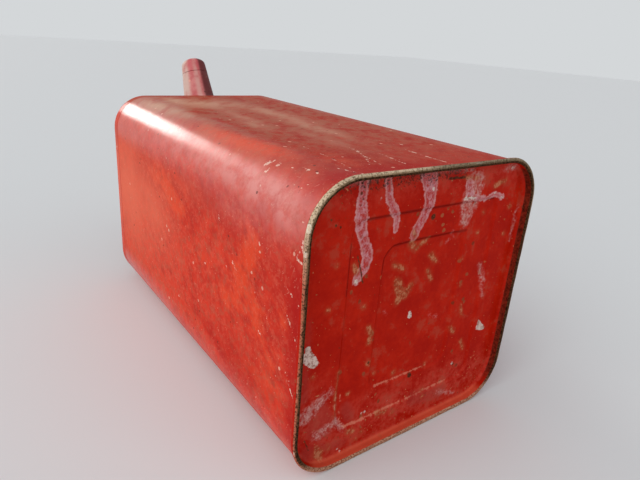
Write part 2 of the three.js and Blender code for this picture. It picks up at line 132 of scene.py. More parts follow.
# Places that follow from the sizes
HALF_WIDTH = BODY_WIDTH / 2
JOINT_X = BODY_LENGTH - SHOULDER_RADIUS - TOP_COLLAR
PLATEAU_HALF = HALF_WIDTH - PLATEAU_INSET
PLATEAU_X = BODY_LENGTH + PLATEAU_RISE
PIVOT_X = PLATEAU_X + PIVOT_HEIGHT
SPOUT_ROOT_Z = HALF_WIDTH - SPOUT_INSET
EAR_OUTER_Y = BAIL_LEG_Y - WIRE_RADIUS - EAR_GAP
CHUCK_FACE = -2 * SHEET - CLEARANCE
HOOK_REACH = SEAM_OVERHANG - SHEET - CLEARANCE
BODY_EDGE_X = SHEET + COMPOUND_THICKNESS + 2 * CLOSE_GAP

# A trifle, in millimetres, and next to nothing, which keeps a division off nought
TRIFLE = 0.05
NOTHING = 1e-9

# The can's own axes start at the middle of the seam's crest
MILLIMETRE = 0.001
pan_low, pan_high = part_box("bottom_panel")
CAN_ORIGIN = np.array((pan_low.x, 0, (pan_low.z + pan_high.z) / 2))


def placed(points):
    """Points on the can's own axes in millimetres, as points of the row frame in metres."""
    return np.asarray(points, float) * MILLIMETRE + CAN_ORIGIN


def smooth(value, low=0.0, high=1.0):
    """Eased ramp: 0 up to low, 1 from high, and 3t squared less 2t cubed between them."""
    share = np.clip((value - low) / (high - low), 0, 1)
    return share * share * (3 - 2 * share)


# Meshes from grids of points


def grid_faces(rows, columns, rows_wrap, columns_wrap):
    """Four-sided faces between neighbours in a grid whose points are numbered row by row."""
    row, column = np.meshgrid(
        np.arange(rows - (not rows_wrap)), np.arange(columns - (not columns_wrap)), indexing="ij")
    below, beside = (row + 1) % rows, (column + 1) % columns
    corners = (row * columns + column, row * columns + beside,
               below * columns + beside, below * columns + column)
    return np.stack(corners, -1).reshape(-1, 4)


def weld(mesh, distance=1e-7):
    """Merges points that coincide, and turns every closed skin's faces outwards."""
    work = bmesh.new()
    work.from_mesh(mesh)
    bmesh.ops.remove_doubles(work, verts=work.verts, dist=distance)
    bmesh.ops.recalc_face_normals(work, faces=work.faces)
    work.to_mesh(mesh)
    work.free()


def new_object(name, grid, rows_wrap, columns_wrap):
    """One mesh object from a grid of points in millimetres on the can's axes, and whether its rows
    and its columns close on themselves."""
    faces = grid_faces(*grid.shape[:2], rows_wrap, columns_wrap)
    mesh = bpy.data.meshes.new(name)
    mesh.from_pydata(placed(grid).reshape(-1, 3).tolist(), [], faces.tolist())
    weld(mesh)
    made = bpy.data.objects.new(name, mesh)
    bpy.context.scene.collection.objects.link(made)
    return made


def finished(made, crease=35):
    """Applies an object's modifiers, then shades it smooth apart from edges sharper than crease."""
    if made.modifiers:
        graph = bpy.context.evaluated_depsgraph_get()
        mesh = bpy.data.meshes.new_from_object(made.evaluated_get(graph))
        made.modifiers.clear()
        made.data = mesh
    mesh = made.data
    mesh.polygons.foreach_set("use_smooth", np.ones(len(mesh.polygons), bool))
    mesh.set_sharp_from_angle(angle=math.radians(crease))
    return made


def cut_holes(made, cutters):
    """Subtracts closed objects from another one, and removes them."""
    for each in cutters:
        hole = made.modifiers.new(each.name, "BOOLEAN")
        hole.object, hole.operation, hole.solver = each, "DIFFERENCE", "EXACT"
    finished(made)
    for each in cutters:
        bpy.data.objects.remove(each)


def dress(made, finish, body, node):
    """Gives a piece its finish, lets it ride on its body and stand for its CAD node."""
    made.data.materials.clear()
    made.data.materials.append(finish)
    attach(made, body)
    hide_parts(node)


def can_points(made):
    """The points of a mesh on the can's axes, in millimetres, as three arrays."""
    mesh = made.data
    points = np.empty(len(mesh.vertices) * 3)
    mesh.vertices.foreach_get("co", points)
    return ((points.reshape(-1, 3) - CAN_ORIGIN) / MILLIMETRE).T


def store(made, **kept):
    """Keeps numbers for each point of a mesh, for its finish."""
    for name, values in kept.items():
        attribute = made.data.attributes.new(name, "FLOAT", "POINT")
        attribute.data.foreach_set("value", np.asarray(values, np.float32))


def around(steps):
    """Angles spaced evenly once round."""
    return np.arange(steps) * 2 * math.pi / steps


def quarter(steps):
    """Angles spaced evenly from nought to a right angle."""
    return np.linspace(0, math.pi / 2, steps + 1)


# Rows of rounded squares: where the points on a straight side lie, as shares of it, closer together
# beside the folded seam's edges
FLAT_SPAN = BODY_WIDTH - 2 * CORNER_RADIUS
FOLD_PLACES = np.array((1.9, 2.2, 2.4, 2.7, 3, 3.2))
SIDE_SHARES = np.unique(np.concatenate([
    np.linspace(0, 1, 71)[1:-1], 0.5 + np.r_[-FOLD_PLACES[::-1], FOLD_PLACES] / FLAT_SPAN]))
PAN_SHARES = np.linspace(0, 1, 111)[1:-1]
CORNER_STEPS = 16


def square_grid(rows, shares=SIDE_SHARES):
    """Grid of points round squares with rounded corners, one row of points for each row of x, half
    width in Y, half width in Z and radius: quarter circles, joined by straight sides with points at
    the shares given."""
    x, half_y, half_z, radius = (column[:, None, None] for column in np.asarray(rows).T)
    angle = (np.arange(4)[:, None] + np.linspace(0, 1, CORNER_STEPS + 1)) * math.pi / 2
    sign_y = np.array((1, -1, -1, 1))[:, None]
    sign_z = np.array((1, 1, -1, -1))[:, None]
    corners = np.stack([sign_y * (half_y - radius) + radius * np.cos(angle),
                        sign_z * (half_z - radius) + radius * np.sin(angle)], -1)
    starts, ends = corners[:, :, -1:], np.roll(corners[:, :, :1], -1, axis=1)
    sides = starts + (ends - starts) * shares[:, None]
    loops = np.concatenate([corners, sides], 2).reshape(len(rows), -1, 2)
    return np.concatenate([np.broadcast_to(x, (*loops.shape[:2], 1)), loops], -1)


def wall_rows(x, outside):
    """Rows that follow the body's wall at a distance outside it."""
    x, outside = np.broadcast_arrays(np.asarray(x, float), np.asarray(outside, float))
    half = HALF_WIDTH + outside
    return np.stack([x, half, half, CORNER_RADIUS + outside], -1).reshape(-1, 4)


def arc_rows(centre_x, centre_outside, radius, start, end, steps):
    """Wall rows on an arc about a centre, from one angle to another, from +X outwards."""
    angle = np.radians(np.linspace(start, end, steps + 1))
    return wall_rows(centre_x + radius * np.cos(angle), centre_outside + radius * np.sin(angle))


def between(first, last, steps):
    """Rows spaced evenly from one row to another, both left out."""
    share = np.linspace(0, 1, steps + 2)[1:-1, None]
    return np.asarray(first) + (np.asarray(last) - np.asarray(first)) * share


def wall_normals(rows):
    """Outward directions of the wall at each point of a grid of wall rows."""
    outer = rows + np.array((0, 1, 1, 1))
    return square_grid(outer) - square_grid(rows)


def square_distance(y, z, half, radius):
    """Distance outside a square with rounded corners, negative inside it."""
    past_y, past_z = np.abs(y) - half + radius, np.abs(z) - half + radius
    away = np.hypot(np.maximum(past_y, 0), np.maximum(past_z, 0))
    return away + np.minimum(np.maximum(past_y, past_z), 0) - radius


# The body, its bottom and its top


def ripple(x, y, z):
    """Slow unevenness of hand-worn sheet, from -1 to 1: the mean of three crossed sine waves."""
    return (np.sin(x / 17 + y / 31 + 1.3) * np.sin(z / 23 - x / 41 + 0.4)
            + np.sin(y / 19 - z / 27 + 2.1) * np.sin(x / 29 + 0.7)
            + np.sin((x + y - z) / 37)) / 3


# Dents in the flat sides: x, y, z of the middle, how far each spreads and how deep it is
BODY_DENTS = ((92, 72.5, 8, 24, 0.45), (190, 72.5, -12, 30, 0.5), (150, 10, 72.5, 34, 0.25),
              (40, -20, 72.5, 20, 0.3), (130, -72.5, 20, 30, 0.5), (70, 10, -72.5, 26, 0.4),
              (60, 72.5, -30, 18, 0.3))
WALL_RIPPLE = 0.12
# Rows along the wall: a few beside the seam, close together where light rakes it, then wider apart
WALL_PLACES = np.concatenate([(2.5, 3.4, 3.7, 4.6), np.linspace(6, 100, 80), np.linspace(102.5, JOINT_X, 52)])
# The wall is even up to a distance from its ends, and its dents and ripple ease in from there
WALL_EVEN_END = 6
WALL_EASE = 20
JOINT_EVEN_END = 2
# The inner wall has one row for this many outside
INNER_WALL_EVERY = 8
HOOK_ROWS = 3


def body_sheet():
    """Body: hook, outer wall, edge and inner wall carried round the rounded square. The wall is
    moved along its normal by dents, each a depth times a bell curve of the distance from its
    middle, and on the flats by the ripple; the folded side seam is a ramped band on the -Y side."""
    hook_back = BODY_EDGE_X + BODY_HOOK_HEIGHT
    rows = np.concatenate([
        wall_rows([BODY_EDGE_X, BODY_EDGE_X, hook_back], [-SHEET, HOOK_REACH, HOOK_REACH]),
        wall_rows(np.r_[hook_back, WALL_PLACES[1:]], 0),
        wall_rows(WALL_PLACES[::-INNER_WALL_EVERY], -SHEET)])
    grid = square_grid(rows)
    x, y, z = np.moveaxis(grid, -1, 0)
    ends = (smooth(x, WALL_EVEN_END, WALL_EVEN_END + WALL_EASE)
            * smooth(-x, JOINT_EVEN_END - JOINT_X, JOINT_EVEN_END - JOINT_X + WALL_EASE))
    flat_edge = CORNER_RADIUS - HALF_WIDTH
    flat = smooth(-np.minimum(np.abs(y), np.abs(z)), flat_edge - 4, flat_edge + 14)
    inward = WALL_RIPPLE * ripple(x, y, z) * flat
    for dent_x, dent_y, dent_z, spread, depth in BODY_DENTS:
        away_squared = (x - dent_x)**2 + (y - dent_y)**2 + (z - dent_z)**2
        inward += depth * np.exp(-away_squared / spread**2) * flat
    edge = np.clip((SIDE_SEAM_WIDTH / 2 - np.abs(z)) / SIDE_SEAM_RISE, 0, 1)
    row = np.arange(len(rows))[:, None]
    outer = (row >= HOOK_ROWS) & (row < HOOK_ROWS + len(WALL_PLACES))
    fold = smooth(edge) * (y < 0) * (x > SEAM_HEIGHT + CLEARANCE - TRIFLE) * outer
    grid += wall_normals(rows) * (SIDE_SEAM_RISE * fold - inward * ends)[..., None]
    return new_object("body_sheet", grid, True, True)


STEP_SOFT = 0.5


def step_rows(step, x, steps):
    """Rows of one pressed step in the pan: even across it, eased along X, and a little wider than
    in the solid so that both its edges are soft."""
    wide, narrow = (np.array((x + depth, HALF_WIDTH - step["inset_y"] + more,
                              HALF_WIDTH - step["inset_z"] + more, step["radius"] + more))
                    for depth, more in ((0, STEP_SLOPE + STEP_SOFT), (STEP_DEPTH, -STEP_SOFT)))
    rows = between(wide, narrow, steps)
    rows[:, 0] = x + STEP_DEPTH * smooth(np.linspace(0, 1, steps + 2)[1:-1])
    return np.concatenate([[wide], rows, [narrow]])


def pan_face(outside, fillet, x, bend_steps, steps, land):
    """Rows of the pan from the countersink's wall to its middle, where the last row is a point, and
    how far off the middle each row is pressed, as a share."""
    bend = arc_rows(x - fillet, outside - fillet, fillet, 90, 0, bend_steps)
    outer, inner = step_rows(OUTER_STEP, x, steps), step_rows(INNER_STEP, x + STEP_DEPTH, steps)
    middle = np.array((inner[-1][0], 0, 0, 0))
    rows = [bend, between(bend[-1], outer[0], land), outer,
            between(outer[-1], inner[0], land), inner,
            between(inner[-1], middle, land + 4), [middle]]
    shift = [np.zeros(len(bend)), np.linspace(0, 1, land + 2)[1:-1]]
    return np.concatenate(rows), np.concatenate(shift + [np.ones(len(part)) for part in rows[2:]])


CURL_LEAN = 0.5
PAN_RIPPLE = 0.25
PAN_BULGE = {"y": -8, "z": 12, "spread": 30, "depth": 0.4}
CREST_WAVE = 0.09


def bottom_pan():
    """Bottom: the pan's face, the countersink's wall, the seam's crest and the curl over the body's
    hook, then the same again inside the sheet, carried round the rounded square. The curl leans in
    to the body's wall at its edge. The pan sways with the ripple and a bulge, and the crest waves."""
    crest, lip, leaning = SEAM_CREST_RADIUS, SEAM_HEIGHT - SHEET, SEAM_OVERHANG - CURL_LEAN
    face, face_shift = pan_face(CHUCK_FACE, COUNTERSINK_FILLET, COUNTERSINK_DEPTH, 10, 10, 24)
    wall = between(face[0], wall_rows(crest, CHUCK_FACE)[0], 8)
    top = np.concatenate([arc_rows(crest, CHUCK_FACE + crest, crest, 270, 180, 8),
                          arc_rows(crest, SEAM_OVERHANG - crest, crest, 180, 90, 8)])
    curl = np.concatenate([
        between(top[-1], wall_rows(lip, leaning)[0], 5),
        arc_rows(lip, leaning - SHEET / 2, SHEET / 2, 90, 0, 5),
        wall_rows([SEAM_HEIGHT - SHEET / 2, lip, lip, SHEET, SHEET],
                  [CLEARANCE, CLEARANCE, leaning - SHEET, SEAM_OVERHANG - SHEET, CHUCK_FACE + SHEET])])
    inside, inside_shift = pan_face(
        CHUCK_FACE + SHEET, COUNTERSINK_FILLET + SHEET, COUNTERSINK_DEPTH + SHEET, 5, 3, 3)
    unshifted = np.zeros(len(wall) + len(top) + len(curl))
    grid = square_grid(np.concatenate([face[::-1], wall, top, curl, inside]), PAN_SHARES)
    grid[..., 1:] += np.r_[face_shift[::-1], unshifted, inside_shift][:, None, None] * STEP_SHIFT
    x, y, z = np.moveaxis(grid, -1, 0)
    away_squared = (y - PAN_BULGE["y"])**2 + (z - PAN_BULGE["z"])**2
    sway = (PAN_RIPPLE * ripple(3 * x, 1.7 * y + 9, 1.7 * z)
            + PAN_BULGE["depth"] * np.exp(-away_squared / PAN_BULGE["spread"]**2))
    grid[..., 0] += sway * smooth(-np.maximum(np.abs(y), np.abs(z)), -66, -52)
    wave = np.sin(y / 3.7 + 1.9 * np.sin(z / 9)) * np.sin(z / 4.3 + 2.3 * np.sin(y / 11))
    grid[..., 0] += CREST_WAVE * (1 + wave) * smooth(-x, -1.6, -0.6)
    return new_object("bottom_pan", grid, False, True)


PLATEAU_SOFT = 0.4
TOP_RIPPLE = 0.25
CUT_REACH = 5


def top_rows(outwards, shoulder_steps, ramp_steps, middle_steps):
    """Rows of the top's face from its collar to its middle, moved outwards by a distance."""
    centre_x, foot = BODY_LENGTH - SHOULDER_RADIUS, PLATEAU_HALF + PLATEAU_SLOPE + PLATEAU_SOFT
    head = PLATEAU_HALF - PLATEAU_SOFT
    shoulder = arc_rows(centre_x, -SHOULDER_RADIUS, SHOULDER_RADIUS + outwards, 90, 0, shoulder_steps)
    low = np.array((BODY_LENGTH + outwards, foot, foot, PLATEAU_RADIUS + PLATEAU_SLOPE + PLATEAU_SOFT))
    high = np.array((PLATEAU_X + outwards, head, head, PLATEAU_RADIUS - PLATEAU_SOFT))
    middle = np.array((PLATEAU_X + outwards, 0, 0, 0))
    ramp = between(low, high, ramp_steps)
    ramp[:, 0] = low[0] + PLATEAU_RISE * smooth((ramp[:, 0] - low[0]) / PLATEAU_RISE)
    return np.concatenate([shoulder, between(shoulder[-1], low, 2), [low], ramp,
                           [high], between(high, middle, middle_steps), [middle]])


def cutter(name, radius, place, steps, reach=CUT_REACH, about=(0, 1, 2)):
    """Closed cylinder that cuts a hole about X, or about the axis that takes X's place."""
    rod = turned([(0, -reach), (radius, -reach), (radius, reach), (0, reach)], steps)
    return new_object(name, rod[..., about] + place, False, True)


def top_shell():
    """Top: its face, collar and the skirt that slips into the body, carried round the rounded
    square, with holes for the filler neck, the spout and the rivets."""
    skirt_face, skirt_end, groove_top = -SHEET - CLEARANCE, JOINT_X - TOP_LAP, JOINT_X + JOINT_GROOVE
    outside = top_rows(0, 16, 8, 20)[::-1]
    collar = between(outside[-1], wall_rows(groove_top, 0)[0], 6)
    skirt = wall_rows([groove_top + CLOSE_GAP, groove_top, groove_top, skirt_end, skirt_end,
                       groove_top + SHEET, groove_top + SHEET],
                      [0, -CLOSE_GAP, skirt_face, skirt_face, skirt_face - SHEET,
                       skirt_face - SHEET, -SHEET])
    grid = square_grid(np.concatenate([outside, collar, skirt, top_rows(-SHEET, 6, 3, 4)]))
    x, y, z = np.moveaxis(grid, -1, 0)
    sway = TOP_RIPPLE * ripple(2 * x, 1.3 * y, 1.3 * z + 20)
    grid[..., 0] += sway * smooth(-np.hypot(y, z), -70, -45) * (x > BODY_LENGTH - 2)
    made = new_object("top_shell", grid, False, True)
    bore = spout_grid([(0, -SPOUT_BURIED), (spout_radius(-SPOUT_BURIED) - SPOUT_WALL, -SPOUT_BURIED),
                       (spout_radius(0) - SPOUT_WALL, 0), (0, 0)], 96)
    cutters = [cutter("filler_cutter", NECK_RADIUS + CLEARANCE, (PLATEAU_X, 0, FILLER_Z), 96),
               new_object("spout_cutter", bore, False, True)]
    cut_holes(made, cutters + [
        cutter("rivet_cutter", RIVET_RADIUS + CLEARANCE, place, 24) for place in RIVET_PLACES])
    return made


def joint_bead():
    """Painted solder in the groove between body and top: a shallow hollow ring."""
    start, end, bed = JOINT_X + TRIFLE, JOINT_X + JOINT_GROOVE - TRIFLE, -SHEET - CLOSE_GAP
    edge, hollow = -0.04, -0.16
    rows = wall_rows([start, start, (start + end) / 2, end, end], [bed, edge, hollow, edge, bed])
    return new_object("joint_bead", square_grid(rows), True, True)


# Turned pieces

RIVET_Y = EAR_OUTER_Y - EAR_THICKNESS - EAR_FOOT_DEPTH / 2
RIVET_PLACES = [(PLATEAU_X, side_y * RIVET_Y, side_z * RIVET_SPACING / 2)
                for side_y, side_z in ((1, 1), (1, -1), (-1, 1), (-1, -1))]
FILLER_PLACE = np.array((PLATEAU_X + CLOSE_GAP, 0, FILLER_Z))
NECK_STEPS = 120


def turned(profile, steps):
    """Grid of points about X from a profile of radius and x."""
    radius, x = (column[:, None] for column in np.asarray(profile, float).T)
    angle = around(steps)
    return np.stack([x + 0 * angle, radius * np.cos(angle), radius * np.sin(angle)], -1)


def rounded(profile, radius, steps=4, closed=False):
    """A profile whose corners are rounded: each corner gives way to points on a curve that runs
    from a place before it to a place after it, bent towards the corner."""
    points = np.asarray(profile, float)
    before, after = np.roll(points, 1, 0), np.roll(points, -1, 0)
    reach_in = np.linalg.norm(points - before, axis=1)
    reach_out = np.linalg.norm(after - points, axis=1)
    bend = np.minimum(radius, np.minimum(reach_in, reach_out) / 2.2)
    start = points + (before - points) * (bend / np.maximum(reach_in, NOTHING))[:, None]
    end = points + (after - points) * (bend / np.maximum(reach_out, NOTHING))[:, None]
    curve = bent(start[:, None], points[:, None], end[:, None], np.linspace(0, 1, steps + 1)[None, :, None])
    if closed:
        return curve.reshape(-1, 2)
    return np.concatenate([points[:1], curve[1:-1].reshape(-1, 2), points[-1:]])


def bent(start, corner, end, share):
    """Points from start to end on a curve that is drawn towards a corner: the blend of the two
    straight ways there and on from there."""
    return (1 - share)**2 * start + 2 * share * (1 - share) * corner + share**2 * end


def dense(profile, spacing):
    """A profile with points added along its straight stretches, no further apart than spacing."""
    points = np.asarray(profile, float)
    stretches = [points[:1]]
    for first, last in zip(points[:-1], points[1:]):
        steps = max(1, int(math.ceil(np.linalg.norm(last - first) / spacing)))
        stretches.append(first + (last - first) * np.linspace(0, 1, steps + 1)[1:, None])
    return np.concatenate(stretches)


def helix_height(x, angle, start, turns):
    """Share of a bead's rise at each point: a flat-topped ridge about a helix that climbs along X."""
    height, run_out, slope = np.zeros(np.broadcast(x, angle).shape), 0.06, 0.7
    for turn in range(int(math.ceil(turns))):
        along = angle / (2 * math.pi) + turn
        away = np.abs(x - start - THREAD_PITCH * along)
        ends = smooth(along, 0, run_out) * smooth(turns - along, 0, run_out)
        height = np.maximum(height, smooth(1 - away / (BEAD_WIDTH / 2), 0, slope) * ends)
    return height


def from_axis(grid):
    """Distance of the points of a turned grid from X."""
    return np.hypot(grid[..., 1], grid[..., 2])


def swollen(grid, rise):
    """Moves the points of a turned grid away from X by rise."""
    grid[..., 1:] *= (1 + rise / np.maximum(from_axis(grid), NOTHING))[..., None]
    return grid


def filler_neck():
    """Neck: a sleeve with a flange, and a helical bead that swells the sleeve's outside."""
    bore, foot, soft, spacing = NECK_RADIUS - NECK_WALL, NECK_RADIUS + FLANGE_WIDTH, 0.3, 0.25
    profile = rounded([(bore, -NECK_SPIGOT), (NECK_RADIUS, -NECK_SPIGOT), (NECK_RADIUS, 0), (foot, 0),
                       (foot, FLANGE_THICKNESS), (NECK_RADIUS, FLANGE_THICKNESS),
                       (NECK_RADIUS, NECK_HEIGHT), (bore, NECK_HEIGHT)], soft, closed=True)
    grid = turned(dense(np.r_[profile, profile[:1]], spacing)[:-1], NECK_STEPS)
    outside = (from_axis(grid) > NECK_RADIUS - 0.1) & (grid[..., 0] > FLANGE_THICKNESS + 0.4)
    bead = helix_height(grid[..., 0], around(NECK_STEPS), NECK_THREAD_START, NECK_THREAD_TURNS)
    swollen(grid, BEAD_RISE * bead * outside)
    return new_object("neck_sleeve", grid + FILLER_PLACE, True, True)


CAP_DISH = 0.35
CAP_DISH_RADIUS = 11.0
CAP_DISH_SLOPE = 1.0
CAP_SOFT = 0.5
CAP_SPACING = 0.4
CAP_RIB_STEPS = 14


def filler_cap():
    """Screw cap: roof with a pressed ring, ribbed side, rolled rim and bore. The ribs are eased
    ridges round the side, and the bore's bead is the neck's helix turned inwards."""
    bore = NECK_RADIUS + BEAD_RISE + CLEARANCE
    outer, roof = bore + CAP_WALL, NECK_HEIGHT + GASKET_THICKNESS + 2 * CLEARANCE
    top, foot = roof + CAP_WALL, FLANGE_THICKNESS + CAP_FOOT_GAP
    outside = rounded([(0, top - CAP_DISH), (CAP_DISH_RADIUS, top - CAP_DISH),
                       (CAP_DISH_RADIUS + CAP_DISH_SLOPE, top), (outer - CAP_BEVEL, top),
                       (outer, top - CAP_BEVEL), (outer, foot + 2 * CAP_RIM),
                       (outer + CAP_RIM, foot + 1.3 * CAP_RIM), (outer + CAP_RIM, foot + 0.3 * CAP_RIM),
                       (outer + CAP_RIM / 2, foot), (bore, foot), (bore, roof), (0, roof)], CAP_SOFT, 5)
    steps = CAP_RIB_COUNT * CAP_RIB_STEPS
    grid = turned(dense(outside, CAP_SPACING), steps)
    x, radius, angle = grid[..., 0], from_axis(grid), around(steps)
    rib_pitch = 2 * math.pi / CAP_RIB_COUNT
    away = np.abs((angle / rib_pitch + 0.5) % 1 - 0.5) * rib_pitch * outer
    rib = smooth(1.25 * CAP_RIB_WIDTH / 2 - away, 0, 0.45 * CAP_RIB_WIDTH)
    span = smooth(x, foot + 1.9 * CAP_RIM, foot + 3 * CAP_RIM) * smooth(-x, 0.7 - top, 2.2 - top)
    bead = helix_height(x, angle, NECK_THREAD_START + THREAD_PITCH / 2, CAP_THREAD_TURNS)
    swollen(grid, CAP_RIB_DEPTH * rib * span * (radius > outer - TRIFLE)
            - BEAD_RISE * bead * (np.abs(radius - bore) < TRIFLE) * (x < roof - 0.4))
    return new_object("screw_cap", grid + FILLER_PLACE, False, True)


def neck_fillet():
    """Solder round the neck's flange: a hollow fillet with an uneven foot."""
    inner, sunk, hollow = NECK_RADIUS + FLANGE_WIDTH - 0.1, -0.12, 1.8
    share = np.linspace(0, 1, 7)
    radius, height = inner + SOLDER_LEG * share, (FLANGE_THICKNESS + TRIFLE) * (1 - share)**hollow
    profile = np.concatenate([np.stack([radius, height], -1), [(inner + SOLDER_LEG, sunk), (inner, sunk)]])
    grid, angle = turned(profile, NECK_STEPS), around(NECK_STEPS)
    swollen(grid, (0.2 * np.sin(5 * angle + 1) + 0.12 * np.sin(11 * angle))
            * smooth(from_axis(grid), inner, inner + SOLDER_LEG))
    return new_object("neck_fillet", grid + FILLER_PLACE, True, True)


# The spout

SPOUT_AXIS = np.array((math.cos(SPOUT_LEAN), 0, math.sin(SPOUT_LEAN)))
SPOUT_ACROSS = np.array((math.sin(SPOUT_LEAN), 0, -math.cos(SPOUT_LEAN)))
SPOUT_ROOT = np.array((BODY_LENGTH, 0, SPOUT_ROOT_Z))
CONE_STEPS = 128
CONE_FOOT_HEIGHT = 0.1
CONE_LIP = 0.08
ROOT_STEPS = 160
ROOT_SUNK = 0.15
ROOT_PROUD = 0.02
PLUG_STEPS = 96


def spout_radius(along):
    """Outer radius of the spout's cone at a distance along its axis from its root."""
    return SPOUT_ROOT_RADIUS + (SPOUT_MOUTH_RADIUS - SPOUT_ROOT_RADIUS) / SPOUT_LENGTH * along


def spout_points(radius, along, angle):
    """Points about the spout's axis. Arrays are matched as numpy matches them."""
    radius, along, angle = (np.asarray(value, float)[..., None] for value in (radius, along, angle))
    ring = SPOUT_ACROSS * np.cos(angle) + np.array((0, 1, 0)) * np.sin(angle)
    return SPOUT_ROOT + SPOUT_AXIS * along + ring * radius


def spout_grid(profile, steps):
    """Grid of points about the spout's axis from a profile of radius and distance along it."""
    radius, along = (column[:, None] for column in np.asarray(profile, float).T)
    return spout_points(radius, along, around(steps))


def above_top(points):
    """Distance above the top's face, negative inside the can. The edge is a quarter circle."""
    x, y, z = np.moveaxis(points, -1, 0)
    plateau = square_distance(y, z, PLATEAU_HALF, PLATEAU_RADIUS)
    rise = PLATEAU_RISE * np.clip(1 - plateau / PLATEAU_SLOPE, 0, 1)
    outwards = square_distance(y, z, HALF_WIDTH, CORNER_RADIUS) + SHOULDER_RADIUS
    upwards = x - rise - (BODY_LENGTH - SHOULDER_RADIUS)
    corner = np.hypot(np.maximum(outwards, 0), np.maximum(upwards, 0))
    return corner + np.minimum(np.maximum(outwards, upwards), 0) - SHOULDER_RADIUS


def spout_foot(thicker, height, angle, halvings=40):
    """Where the cone's straight lines leave the top, thicker by a distance: found by halving,
    between a place inside the can and the mouth."""
    low, high = np.full(angle.shape, -SPOUT_BURIED), np.full(angle.shape, SPOUT_LENGTH)
    for _ in range(halvings):
        middle = (low + high) / 2
        inside = above_top(spout_points(spout_radius(middle) + thicker, middle, angle)) < height
        low, high = np.where(inside, middle, low), np.where(inside, high, middle)
    return (low + high) / 2


def spout_cone():
    """Spout: each straight line of the cone from where it leaves the top to the mouth, outside and
    inside, joined by a rounded lip."""
    angle, share = around(CONE_STEPS), np.linspace(0, 1, 40)[:, None]
    outer_foot, inner_foot = (spout_foot(wall, CONE_FOOT_HEIGHT, angle) for wall in (0, -SPOUT_WALL))
    lip_start = SPOUT_LENGTH - CONE_LIP
    outer = outer_foot + (lip_start - outer_foot) * share
    inner = lip_start + (inner_foot - lip_start) * share
    lip_radii = (SPOUT_MOUTH_RADIUS - CONE_LIP, SPOUT_MOUTH_RADIUS - SPOUT_WALL + CONE_LIP)
    lips = [spout_points(np.full((1, CONE_STEPS), radius), np.full((1, CONE_STEPS), SPOUT_LENGTH), angle)
            for radius in lip_radii]
    grid = np.concatenate([spout_points(spout_radius(outer), outer, angle), *lips,
                           spout_points(spout_radius(inner) - SPOUT_WALL, inner, angle)])
    return new_object("spout_cone", grid, True, True)


def spout_fillet():
    """Solder where the spout meets the top: between a line on the cone and a line on the top, bent
    towards the corner that they make, and closed under the skin of both."""
    angle = around(ROOT_STEPS)
    leg = SPOUT_SOLDER * (1 + 0.12 * np.sin(5 * angle) + 0.08 * np.sin(13 * angle + 1))
    root = spout_foot(0, 0, angle)
    wide, under = spout_foot(leg, ROOT_PROUD, angle), spout_foot(leg, -ROOT_SUNK, angle)
    below, high = spout_foot(-ROOT_SUNK, -ROOT_SUNK, angle), root + leg
    corner, on_cone, on_top, under_top, under_corner, under_cone = (
        spout_points(spout_radius(along) + thicker, along, angle) for along, thicker in (
            (root, 0), (high, ROOT_PROUD), (wide, leg), (under, leg), (below, -ROOT_SUNK),
            (high, -ROOT_SUNK)))
    bend = bent(on_cone, corner, on_top, np.linspace(0, 1, 8)[:, None, None])
    back = np.stack([under_top, under_corner, under_cone])
    return new_object("spout_fillet", np.concatenate([bend, back]), True, True)


def spout_plug():
    """Press-in cap: a plug under a domed head whose side carries on the spout's taper."""
    plug = SPOUT_MOUTH_RADIUS - SPOUT_WALL - CLEARANCE - CORK_THICKNESS - CLOSE_GAP
    edge, soft, spacing = spout_radius(SPOUT_LENGTH + SPOUT_CAP_BAND), 0.12, 1.0
    bend = quarter(15)[1:]
    dome = np.stack([edge * np.cos(bend), SPOUT_CAP_BAND + SPOUT_CAP_DOME * np.sin(bend)], -1)
    low = rounded([(0, -SPOUT_PLUG_LENGTH), (plug, -SPOUT_PLUG_LENGTH), (plug, CLEARANCE),
                   (SPOUT_MOUTH_RADIUS, CLEARANCE), (edge, SPOUT_CAP_BAND)], soft)
    profile = dense(np.concatenate([low, dome]), spacing) + (0, SPOUT_LENGTH)
    return new_object("spout_plug", spout_grid(profile, PLUG_STEPS), False, True)


def cork_sleeve():
    """Cork on the plug: a ring with soft edges, worn thinner towards its end."""
    outer = SPOUT_MOUTH_RADIUS - SPOUT_WALL - CLEARANCE
    inner, worn, worn_length, soft = outer - CORK_THICKNESS, 0.25, 2, 0.5
    low, high = CORK_INSET - SPOUT_PLUG_LENGTH, -CORK_INSET
    profile = rounded([(inner, low), (outer - worn, low), (outer, high - worn_length), (outer, high),
                       (inner, high)], soft, closed=True)
    return new_object("cork_sleeve", spout_grid(profile + (0, SPOUT_LENGTH), PLUG_STEPS), True, True)


# The bail


def unit(vectors):
    """Vectors of length 1 in the directions given."""
    return vectors / np.linalg.norm(vectors, axis=-1, keepdims=True)


def bent_path(corners, spacing):
    """Points of a flat path in Y and Z whose corners are quarter circles of the radius given with
    each, and its directions."""
    corners = np.array(corners, float)
    places, turn = [corners[:1, :2]], quarter(12)[:, None]
    for before, here, after in zip(corners[:-2, :2], corners[1:-1], corners[2:, :2]):
        here, bend = here[:2], here[2]
        into, out = unit(here - before), unit(after - here)
        places.append(here - into * bend + into * bend * np.sin(turn) + out * bend * (1 - np.cos(turn)))
    path = dense(np.concatenate([*places, corners[-1:, :2]]), spacing)
    return path, unit(np.gradient(path, axis=0))


